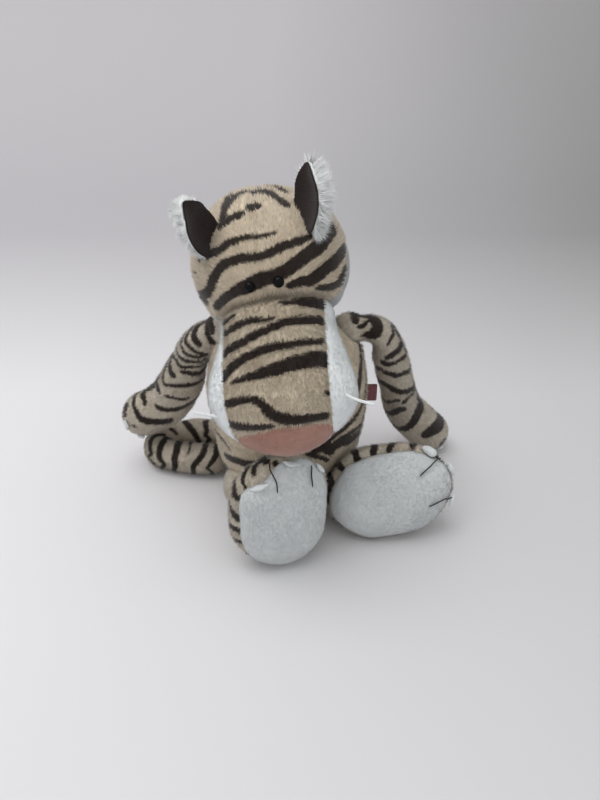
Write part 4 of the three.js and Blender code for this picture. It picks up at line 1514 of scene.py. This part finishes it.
def make_ear(hand):
    name = hands[hand]
    front_form, back_form, lean, face = ear_forms(hand)
    front = drawn(front_form, 48, 40, inset=0.0)
    front = joined(name + "_ear_front_knit", [front], size=0.6 * mm, rounds=4)
    dressed(front, knit)
    stands_for(front, "head", "dark_knit", name + "_ear_front", fill=0.3)
    back = drawn(back_form, 48, 40, inset=0.0)
    back = joined(name + "_ear_back_fur", [back], size=1.0 * mm, rounds=4)
    back.data.materials.append(dyes["fur"])
    comb = combed(lean * 0.25 - face - np.array((0, 0, 0.35)))
    pile(back, comb, look={**ear_look, "long": ear_fur[hand]}, seed=60 + hand,
         bare=lambda spots, out: out @ face > 0.6)
    stands_for(back, "head", "white_fur", name + "_ear_back", fill=0.3)


for hand in hands:
    make_ear(hand)

# %% [markdown]
# ## Whiskers
# One stiff waxed cord on each cheek, knotted inside. A curve with a round bevel would do, but a
# ball drawn out along a short bowed line has closed, rounded ends.

# %% Whiskers
whisker_half = 0.9 * mm
whisker_sink = 9 * mm
whisker_places = {-1: ((-40, -91, 13), 16, (-.93, .30, .32)), 1: ((35, -89, 17.5), 18, (.93, -.60, .26))}
whisker_bow = {-1: (0, 0, 0.9), 1: (0, -1.2, -1.6)}


def make_whisker(hand):
    spot, showing, way = whisker_places[hand]
    spot, way = np.array(spot) * mm, unit(way)
    root, tip = spot - way * whisker_sink, spot + way * showing * mm
    bow = (root + tip) / 2 + np.array(whisker_bow[hand]) * mm
    form = Filled([root, bow, tip], even(whisker_half), (0, 0, 1), whisker_half, whisker_half * 2 / 3)
    cord = drawn(form, 16, 40, inset=0.0)
    cord.name = hands[hand] + "_whisker_cord"
    move_to(cord, to_world(spots_of(cord)))
    dressed(cord, cord_white)
    stands_for(cord, "head", "waxed_cord", hands[hand] + "_whisker")


for hand in hands:
    make_whisker(hand)

# %% [markdown]
# ## Arms and tail
# Each is one tube of striped cloth with a rounded end. The cloth creases a little where the tube
# bends, and those folds are pushed into the finished skin, because the remesh would smooth them
# away. The stripes seen in the picture are carried on round the side that isn't seen.

# %% Stripes of the arms
left_arm_stripe_rows = [
    ([3.9], (.030, -130), (.022, -95), (.020, -60)),
    ([2.2, 1.8], (.038, -36), (.057, -43), (.069, -61)),
    ([5, 7.1, 7.2, 6.9, 5.7], (.069, -104), (.088, -87), (.099, -58), (.102, -33), (.091, -11),
     (.069, -5)),
    ([1.9, 2, 1.2], (.138, -75), (.146, -56), (.149, -34), (.157, -7)),
    ([2.1, 3.3, 3.2, 3.9, 3.2], (.160, -77), (.188, -76), (.202, -55), (.207, -31), (.210, -8),
     (.213, 18)),
    ([2.3, 2.4, 2.2, 4.4], (.246, -82), (.263, -69), (.252, -35), (.252, -7), (.243, 23), (.227, 38)),
    ([2.5, 2.4, 3.2, 2.8, 3.1], (.335, -85), (.345, -68), (.327, -32), (.324, -3), (.307, 15),
     (.299, 36), (.282, 51)),
    ([2.2, 2.9, 3.5, 3.7, 4], (.455, -90), (.470, -72), (.451, -40), (.426, -9), (.404, 12), (.382, 35),
     (.377, 58)),
    ([2.2, 2.6], (.500, -70), (.482, -35), (.493, -14), (.510, -6)),
    ([2.9, 1.8], (.512, 76), (.507, 50), (.479, 24), (.474, 0)),
    ([6.1, 8.5, 6.7, 4.8, 4.9, 2.4], (.576, -88), (.638, -74), (.648, -46), (.671, -20), (.696, 4),
     (.712, 32), (.718, 58), (.700, 78)),
    ([4.9, 4.6, 3.8, 3.3], (.562, -6), (.546, 8), (.571, 28), (.604, 56), (.610, 75)),
    ([1.9], (.74, -105), (.80, -99)),
    ([4.6, 7.8, 8.6, 9.5, 7], (.873, -80), (.859, -55), (.832, -31), (.815, -13), (.823, -2)),
    ([2.7, 4.4], (.954, -38), (.956, -17), (.954, -5)),
]
right_arm_stripe_rows = [
    ([3.1, 3.1, 4.4], (.020, 130), (.024, 87), (.027, 55), (.024, 29)),
    ([2, 2.3, 2.8, 3.7], (.055, 90), (.066, 57), (.071, 33), (.071, 12), (.069, -9)),
    ([2.4, 2.8, 4.4, 4.4, 4], (.070, 130), (.085, 89), (.113, 81), (.130, 64), (.141, 43), (.138, 25),
     (.132, 7)),
    ([2.2, 2.4, 2.7, 2.3, 2.2], (.140, 120), (.160, 76), (.174, 67), (.182, 55), (.180, 36), (.177, 19),
     (.171, -2), (.152, -22)),
    ([2, 2.2, 2.2, 2.5, 3.6], (.185, 118), (.205, 71), (.213, 54), (.218, 39), (.218, 22), (.206, 3),
     (.184, -20), (.135, -33)),
    ([1.8, 1.8, 2, 2.4, 3.4], (.250, 118), (.263, 74), (.263, 53), (.262, 32), (.254, 13), (.238, -10),
     (.224, -34), (.193, -50)),
    ([2, 2.2, 2.4], (.298, 51), (.312, 30), (.302, 12), (.284, -8), (.276, -29), (.276, -52)),
    ([2.6, 2.6, 3.6, 4.5], (.330, 115), (.357, 72), (.379, 57), (.390, 40), (.396, 30)),
    ([2.5, 4.2, 4.2], (.346, 19), (.335, 3), (.335, -20), (.338, -58)),
    ([2, 2, 1.7, 2.9, 1.8], (.385, 118), (.410, 77), (.440, 72), (.470, 62), (.479, 51), (.449, 28),
     (.429, 1), (.418, -28), (.421, -63)),
    ([3.2], (.571, 63), (.585, 48)),
    ([1.1, 2.1], (.571, 37), (.543, 15), (.535, -6), (.518, -31)),
    ([2.6, 3.7, 3.9, 6.2], (.712, 35), (.690, 22), (.657, 6), (.629, -8), (.593, -27), (.565, -53)),
    ([1.3, 2.6, 6.4, 3.8, 2.6], (.53, 80), (.64, 84), (.751, 90), (.801, 85), (.807, 62), (.815, 46)),
    ([1.9, 2.1, 2, 4.4, 5.2, 5.8], (.859, 106), (.881, 86), (.893, 67), (.890, 45), (.887, 32),
     (.879, 20), (.848, 7), (.801, -5), (.751, -19), (.701, -33)),
    ([2.8, 3.8], (.937, 77), (.956, 67), (.967, 53)),
    ([1.5, 2.4], (.954, 9), (.929, -6)),
]

print("arm stripes:", len(right_arm_stripe_rows), "right,", len(left_arm_stripe_rows), "left")

# %% Stripes of the tail
tail_stripe_rows = [
    ([5.1], (.10, -60), (.12, 0), (.11, 60)),
    ([4.4], (.19, -70), (.18, -10), (.20, 60)),
    ([4], (.282, 20), (.282, -11), (.268, -39), (.271, -58)),
    ([3.5, 4.5, 3.2], (.400, 45), (.393, 7), (.371, -26), (.349, -49), (.335, -65)),
    ([2.5, 1.6], (.488, -9), (.463, -30), (.449, -49)),
    ([3.1, 5, 3.4, 1.9], (.580, -25), (.587, 10), (.601, 25), (.621, 38), (.632, 52), (.640, 62)),
    ([4.7, 4.7, 4.8, 3.3], (.650, -45), (.660, -1), (.665, 31), (.668, 55), (.673, 71)),
    ([4.2, 4.8, 4.9, 4.4, 3.1], (.735, -45), (.746, 3), (.751, 37), (.748, 62), (.751, 85)),
    ([2.3, 1.5, 1], (.795, -50), (.804, -13), (.812, 23), (.807, 44)),
    ([4.2, 4.3, 3.8, 2.8], (.885, -40), (.887, 10), (.881, 38), (.862, 59), (.840, 80), (.834, 97)),
    ([2.3, 4.3, 3.9, 2.3, 1.9], (.935, -45), (.948, -5), (.954, 28), (.940, 55), (.923, 73), (.909, 89)),
]

print("tail stripes:", len(tail_stripe_rows))

# %% Combing and creasing along a line
crease_deep, crease_wide, crease_long = 1.1 * mm, 2.2 * mm, 13 * mm
crease_wander, crease_wander_size = 1.5 * mm, 20 * mm


def along_line(form, droop):
    """Brushes towards the end of the form's line, and a little down."""
    at = np.linspace(0, form.length, 60)
    places, ways = form.on_line(at), form.ahead(at)

    def comb(spots):
        near = ((spots[:, None] - places[None]) ** 2).sum(2).argmin(1)
        return ways[near] + np.array((0, 0, -droop))

    return comb


def crease(skin, spot, way, seed):
    """A soft fold: a short groove in the cloth across a limb's inner bend."""
    spots = spots_of(skin)
    rel = spots - spot
    apart = rel @ unit(way) + swell(spots, crease_wander_size, seed) * crease_wander
    push_out(skin, -crease_deep * hill(apart, crease_wide) * hill(np.linalg.norm(rel, axis=1), crease_long))


print("creases are", crease_deep / mm, "mm deep and", crease_wide * 2 / mm, "mm wide")

# %% Arms
limb_voxel = 1.5 * mm
wrap_turn = 75
crease_places = ((.22, 90), (.30, 100), (.62, -90))
slim_reach, slim_fade = 32 * mm, 16 * mm
armpit_lift = {-1: 0.0, 1: 4.5 * mm}
armpit_off, armpit_wide = 19 * mm, 7 * mm
armpit_way = {hand: unit((-0.4 * hand, 0, -0.9)) for hand in hands}
elbow_share, elbow_turn = 0.56, 85
elbow_bump, elbow_wide = 6 * mm, 20 * mm
stripe_gain = {-1: 1.0, 1: 1.2}
root_bare_high, root_bare_share, root_bare_inset = 128 * mm, .85, 3 * mm
root_shade, root_shade_end, root_shade_fade = 1.8, 46 * mm, 10 * mm


def shape_arm(skin, hand):
    """Creases the bends, slims the root, draws the armpit up and rounds the right elbow."""
    form = arms[hand]
    for share, turn in crease_places:
        spot = form.spots(share * form.length, np.radians(turn * hand))
        crease(skin, spot, form.ahead(share * form.length), 73 + hand)
    far = np.linalg.norm(spots_of(skin) - shoulder_spot[hand], axis=1)
    under = np.clip(normals_of(skin) @ armpit_way[hand], 0, 1)
    pulled = root_slim[hand] * np.clip((slim_reach - far) / slim_fade, 0, 1)
    push_out(skin, -pulled - armpit_lift[hand] * under * hill(far - armpit_off, armpit_wide))
    if hand < 0:
        elbow = form.spots(elbow_share * form.length, np.radians(elbow_turn))
        push_out(skin, elbow_bump * hill(np.linalg.norm(spots_of(skin) - elbow, axis=1), elbow_wide))
    press_flat(skin)


def make_arm(hand, rows):
    name = hands[hand] + "_arm"
    form = arms[hand]
    parts = [drawn(form), ball_of(shoulder_spot[hand], shoulder_ball - pile_room)]
    skin = joined(name + "_pile", parts, size=limb_voxel)
    lump(skin, 26 * mm, 0.6 * mm, 70 + hand)
    shape_arm(skin, hand)
    skin.data.materials.append(dyes["limb"])
    inner = body.spots(root_bare_share * body.length, 0.0)[0] - root_bare_inset

    def bare(spots, out):
        return (np.abs(spots[:, 0]) < inner) & (spots[:, 2] < root_bare_high) | on_floor(spots)

    # Painted shade: the arm is painted darker near the body, where the body shades its root.
    def shade(spots):
        return root_shade * np.clip((root_shade_end - np.abs(spots[:, 0])) / root_shade_fade, 0, 1)

    rows = [([wide * stripe_gain[hand] for wide in row[0]], *row[1:]) for row in rows]
    pile(skin, along_line(form, 0.3), dark=on_form(form, rows, wrap=wrap_turn), bare=bare, shade=shade,
         seed=80 + hand)
    stands_for(skin, name, "striped_pile", name + "_skin", name + "_filling", fill=0.75)


make_arm(-1, right_arm_stripe_rows)
make_arm(1, left_arm_stripe_rows)

# %% Tail
tail_root_cover = 1 * mm


def make_tail():
    skin = joined("tail_pile", [drawn(tail), ball_of(tail_root, tail_ball - pile_room)], size=limb_voxel)
    lump(skin, 24 * mm, 0.6 * mm, 91)
    press_flat(skin)
    skin.data.materials.append(dyes["limb"])

    def bare(spots, out):
        return within(spots, tail_root, tail_ball - tail_root_cover) | on_floor(spots)

    dark = on_form(tail, tail_stripe_rows, wrap=wrap_turn)
    pile(skin, along_line(tail, 0.2), dark=dark, bare=bare, seed=92)
    stands_for(skin, "tail", "striped_pile", "tail_skin", "tail_filling", fill=0.8)


make_tail()

# %% [markdown]
# ## Legs and feet
# A short leg runs into a wide foot whose white sole faces forwards. A sole made by itself would
# leave a gap at its seam, so leg and foot are made as one skin, drawn in round the sole, and cut
# there into the striped cloth and the white sole.

# %% Stripes of the feet
right_foot_stripe_rows = [
    ([2.4, 3, 2.4], (.955, 120), (.945, 150), (.926, 175), (.904, 205)),
    ([1.2, 2.4, 2.4, 1.8, 1.4], (.90, 120), (.89, 150), (.86, 170), (.834, 185), (.807, 201),
     (.782, 208)),
    ([1.6, 2.2, 2.8, 4.2, 3.2], (.80, 120), (.78, 150), (.75, 172), (.721, 180), (.712, 196),
     (.679, 206)),
    ([1.6, 2.6, 4.8, 4], (.62, 130), (.604, 160), (.529, 185), (.504, 200), (.490, 211)),
    ([3.3, 3.9], (.42, 150), (.41, 185), (.390, 205), (.360, 217)),
    ([3.3, 3.8, 2], (.30, 170), (.29, 200), (.277, 221), (.207, 231), (.155, 240)),
    ([3.8], (.99, 225), (.967, 246)),
    ([4.3, 4.5], (.962, 152), (.984, 186)),
    ([5], (.10, 120), (.14, 160), (.12, 200)),
    ([5], (.80, 20), (.78, 60), (.80, 100)),
    ([5], (.60, -10), (.58, 30), (.60, 70)),
    ([4], (.42, -5), (.40, 40), (.43, 80)),
    ([4], (.22, 0), (.20, 40), (.22, 85)),
]
left_foot_stripe_rows = [
    ([3.7, 4.3, 3.4], (.19, 115), (.18, 150), (.171, 180), (.168, 208)),
    ([3.7], (.33, 115), (.325, 150), (.31, 176), (.304, 196)),
    ([4.4, 4.4, 3.7], (.50, 110), (.49, 145), (.451, 177), (.432, 192)),
    ([4.6, 3.2], (.66, 115), (.64, 150), (.579, 178), (.56, 192)),
    ([5.5, 3.2], (.79, 115), (.773, 150), (.757, 181), (.75, 192)),
    ([3.2], (.09, 150), (.077, 181), (.063, 206)),
    ([4.8, 8.5], (.90, 150), (.931, 191), (.954, 195), (.973, 203)),
    ([5.6], (.03, -31), (.06, -26), (.099, -21)),
    ([5], (.25, 20), (.27, 60), (.25, 95)),
    ([5], (.45, 10), (.43, 55), (.45, 90)),
    ([5], (.63, 5), (.65, 50), (.62, 92)),
    ([5], (.82, 0), (.80, 45), (.82, 92)),
]


def leg_rings(form):
    rows = [([4, 5, 4], (share, -160 + 40 * i), (share + .05, -60 + 30 * i), (share, 60 + 20 * i))
            for i, share in enumerate((.35, .55, .75))]
    return on_form(form, rows)


print("foot stripes:", len(right_foot_stripe_rows), "right,", len(left_foot_stripe_rows), "left")

# %% The sole's seam
sole_seam = 2.5 * mm
toe_stretch = {-1: 0.0, 1: 4.5 * mm}
toe_share = 0.3
seam_bends = {-1: [(.90, -17, 5, 10), (.93, 19, -5, 11)], 1: [(.97, -14, -3, 10)]}


def stretched(spots, hand):
    """The filling is pushed into the toes, so they reach a little further."""
    foot = feet[hand]
    toes = np.clip((foot.along(spots) / foot_length - (1 - toe_share)) / toe_share, 0, 1)
    return spots + foot.toes * (toe_stretch[hand] * toes ** 2)[..., None]


def sole_distance(spots, foot):
    return (spots - foot.heel) @ foot.sole - sole_seam


def seam_wander(spots, hand):
    """How far the sole's seam is drawn forwards: bends of a share, a side place, a depth and a size."""
    foot = feet[hand]
    aside = (spots - foot.heel) @ unit(foot.side - foot.toes * (foot.side @ foot.toes))
    total = np.zeros(len(spots))
    for share, side, deep, size in seam_bends[hand]:
        far = np.hypot(foot.along(spots) - share * foot_length, aside - side * mm)
        total += deep * mm * hill(far, size * mm)
    return total


print("the toes reach", [stretch / mm for stretch in toe_stretch.values()], "mm further")

# %% Legs and feet
foot_swell = {-1: ((-.8, 0, .6), 5.5 * mm), 1: ((0, 0, 1), 8.5 * mm)}
swell_start = 9 * mm
sole_draw, sole_draw_wide = 1.4 * mm, 2.4 * mm
sole_draw_back = 4 * mm
sole_pucker, sole_pucker_size = 0.4, 8 * mm
heel_end, toe_end = 0.1, 0.97


def shape_foot(skin, hand):
    """Fills out the cloth behind the sole, stretches the toes and draws the sole's seam in."""
    foot = feet[hand]
    spots, normals = spots_of(skin), normals_of(skin)
    behind = np.clip(-sole_distance(spots, foot) / swell_start, 0, 1)
    along = np.clip(foot.along(spots) / foot_length, heel_end, toe_end)
    way, deep = foot_swell[hand]
    swelling = deep * np.clip(normals @ unit(way), 0, 1) * behind ** 2 * (3 - 2 * behind)
    swelling = swelling * np.sin(math.pi * along) ** 0.5
    spots = stretched(spots + normals * swelling[:, None], hand)
    near = np.abs(sole_distance(spots, foot) - seam_wander(spots, hand))
    pucker = 1 + sole_pucker * swell(spots, sole_pucker_size, 104)
    draw = sole_draw * pucker * hill(near, sole_draw_wide)
    draw = draw * ((spots - foot.heel) @ foot.sole > -sole_draw_back)
    move_to(skin, spots - normals * draw[:, None])
    press_flat(skin)


def cut_sole(skin, hand):
    """Parts the white sole from the striped cloth along the seam, which wanders."""
    foot = feet[hand]
    sole = copy_of(skin, hands[hand] + "_sole_pile")
    seam = [(foot.heel + foot.sole * sole_seam, foot.sole)]
    for thing, front in ((skin, False), (sole, True)):
        spots = spots_of(thing)
        move_to(thing, spots - foot.sole * seam_wander(spots, hand)[:, None])
        cut_by(thing, seam, clear_outer=not front, clear_inner=front)
        spots = spots_of(thing)
        move_to(thing, spots + foot.sole * seam_wander(spots, hand)[:, None])
    return sole


def make_leg(hand, rows):
    name = hands[hand] + "_leg"
    foot = feet[hand]
    parts = [drawn(foot), drawn(legs[hand]), ball_of(hip_spot[hand], hip_ball - pile_room)]
    skin = joined(name + "_pile", parts, size=limb_voxel, rounds=14)
    lump(skin, 30 * mm, 0.7 * mm, 100 + hand)
    shape_foot(skin, hand)
    sole = cut_sole(skin, hand)
    skin.data.materials.append(dyes["limb"])
    # The sole's white is painted greyer, as shade on a sole that faces away from the ceiling's light.
    sole.data.materials.append(dyes["sole"])
    dark = on_form(foot, rows)
    dark[:, :3] = stretched(dark[:, :3], hand)
    dark = np.vstack([dark, leg_rings(legs[hand])])
    comb = combed(foot.toes * -0.6 + np.array((0, 0, -0.3)))
    pile(skin, comb, dark=dark, bare=on_floor, wall=skin_wall, seed=110 + hand)
    pile(sole, comb, bare=on_floor, wall=skin_wall, seed=115 + hand, look=smooth_look)
    stands_for(skin, name, "striped_pile", name + "_skin", name + "_filling", fill=0.75)
    stands_for(sole, name, "white_pile", hands[hand] + "_sole", fill=0.75)


make_leg(-1, right_foot_stripe_rows)
make_leg(1, left_foot_stripe_rows)

# %% [markdown]
# ## Claws and toe lines
# Each paw and foot ends in three small white felt claws. Felt has no sharp edges, so a claw is a
# ball pressed flat, tapered and curled. On each sole two black threads are drawn tight over the
# edge to part the toes; each is a thin ball drawn out along a line on the sole's own form.

# %% Claws
claw_places = {
    ("paw", -1): [(.93, 150, (0, 0, 1)), (.973, 10, (-.2, 0, 1)), (.93, -60, (0, 0, 1))],
    ("paw", 1): [(.95, 150, (0, 0, 1)), (.98, 60, (0, 0, 1)), (.97, 0, (.3, 0, 1))],
    ("foot", -1): [(.842, -134, (1, 0, .25)), (.965, -75, (1, 0, .05)), (.865, -20, (.7, 0, -.7))],
    ("foot", 1): [(.865, -170, (.6, 0, -.8)), (.975, -143, (.6, 0, -.75)), (.94, -42, (-.3, 0, -1))],
}
claw_halves = {
    ("paw", -1): [(2.4, 1.4, 3.2), (1.7, 1.4, 4.6), (2.4, 1.4, 3.2)],
    ("paw", 1): [(2.2, 1.4, 3.2)] * 3,
    ("foot", -1): [(1.7, 1.5, 7.0), (2.0, 1.2, 5.6), (1.8, 1.3, 4.4)],
    ("foot", 1): [(5.2, 3.0, 6.0), (2.4, 1.7, 6.0), (2.3, 1.7, 6.2)],
}
claw_curl, claw_taper = 0.45, 0.35
claw_proud = 0.3 * mm


def claw_seat(where, hand, form, share, turn):
    """A claw's place on its limb, and the way out of the cloth there."""
    at = share * form.length
    seat = form.spots(at, np.radians(turn))
    if where == "foot":
        seat = stretched(seat, hand)
    return seat, unit(seat - form.on_line(min(at, form.length - form.end_cap)))


def make_claws(where, limb, hand, form):
    """Flat folded petals of felt: half sizes across, out of and along the cloth, in mm."""
    rows = zip(claw_places[where, hand], claw_halves[where, hand])
    for i, ((share, turn, long), halves) in enumerate(rows):
        seat, out = claw_seat(where, hand, form, share, turn)
        long = unit(np.array(long) - out * (out @ np.array(long)))
        claw = new_ball(32, 20)
        claw.name = f"{hands[hand]}_{where}_claw_{i + 1}_felt"
        spots = spots_of(claw)
        spots[:, 0] += claw_curl * spots[:, 2] ** 2
        spots[:, :2] *= (1 - claw_taper * np.abs(spots[:, 2]) ** 3)[:, None]
        spots *= np.array(halves) * mm
        move_to(claw, spots @ np.array([np.cross(out, long), out, long]) + seat + out * claw_proud)
        lump(claw, 4 * mm, 0.35 * mm, 120 + i)
        press_flat(claw)
        dressed(claw, felt)
        stands_for(claw, f"{hands[hand]}_{limb}", "white_felt", f"{hands[hand]}_{where}_claw_{i + 1}")


for hand in hands:
    make_claws("paw", "arm", hand, arms[hand])
    make_claws("foot", "leg", hand, feet[hand])

# %% Toe lines
thread_thick = 0.9 * mm
thread_proud = 0.3 * mm
toe_line_shares = {
    -1: [((.980, 212), (.956, 228), (.906, 246), (.862, 252), (.804, 254)),
         ((.92, -34), (.859, -53), (.773, -60))],
    1: [((.925, 199), (.88, 218), (.829, 233), (.746, 246)),
        ((.965, -50), (.92, -62), (.857, -70), (.773, -71))],
}


def make_toe_line(hand, index, shares):
    foot = feet[hand]
    shares = smooth_line(shares, 10)
    line = foot.spots(shares[:, 0] * foot.length, np.radians(shares[:, 1]), -thread_proud)
    line = stretched(line, hand)
    form = Filled(line[::3], even(thread_thick / 2), foot.sole, thread_thick, thread_thick * 2)
    thread = drawn(form, 12, 60, inset=0.0)
    thread.name = f"{hands[hand]}_toe_line_{index}"
    dressed(thread, thread_black)
    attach(thread, hands[hand] + "_leg")
    print(thread.name, round(form.length / mm), "mm long")


for hand in hands:
    for index, shares in enumerate(toe_line_shares[hand]):
        make_toe_line(hand, index + 1, shares)

# %% [markdown]
# ## Side label
# A plain loop of burgundy ribbon in the side seam, left bare. A flat grid is bent over on itself,
# with a little wave, and gets its thickness last, so that its weave stays even.

# %% Side label
ribbon_thick = 0.6 * mm
ribbon_inset = 0.35 * mm
ribbon_wave, ribbon_wave_long = 0.5 * mm, 3 * mm


def make_label():
    low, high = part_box("side_label")
    bpy.ops.object.select_all(action="DESELECT")
    bpy.ops.mesh.primitive_grid_add(x_subdivisions=40, y_subdivisions=16, size=2)
    ribbon = bpy.context.object
    ribbon.name = "side_label_ribbon"
    spots = spots_of(ribbon)
    long = high.x - low.x
    fold = (high.y - low.y) / 2 - ribbon_inset
    straight, bend = long - fold, fold * math.pi
    total = straight * 2 + bend
    at = (spots[:, 0] + 1) / 2 * total
    turn = np.clip((at - straight) / fold, 0, math.pi)
    past = np.where(at < straight + bend, straight + fold * np.sin(turn), total - at)
    x = low.x + np.where(at < straight, at, past)
    z = low.z + (spots[:, 1] + 1) / 2 * (high.z - low.z)
    wave = ribbon_wave * np.sin(z / ribbon_wave_long) * np.clip((x - low.x) / long, 0, 1)
    y = (low.y + high.y) / 2 - fold * np.cos(turn) + wave
    move_to(ribbon, np.stack([x, y, z], -1))
    apply_modifier(ribbon, "SOLIDIFY", thickness=ribbon_thick, offset=0)
    dressed(ribbon, ribbon_burgundy())
    stands_for(ribbon, "torso", "ribbon", "side_label")


make_label()

# %% [markdown]
# ## Last look
# The count of blades grown in all is printed.

# %% Finish
print("blades in all:", made_blades)
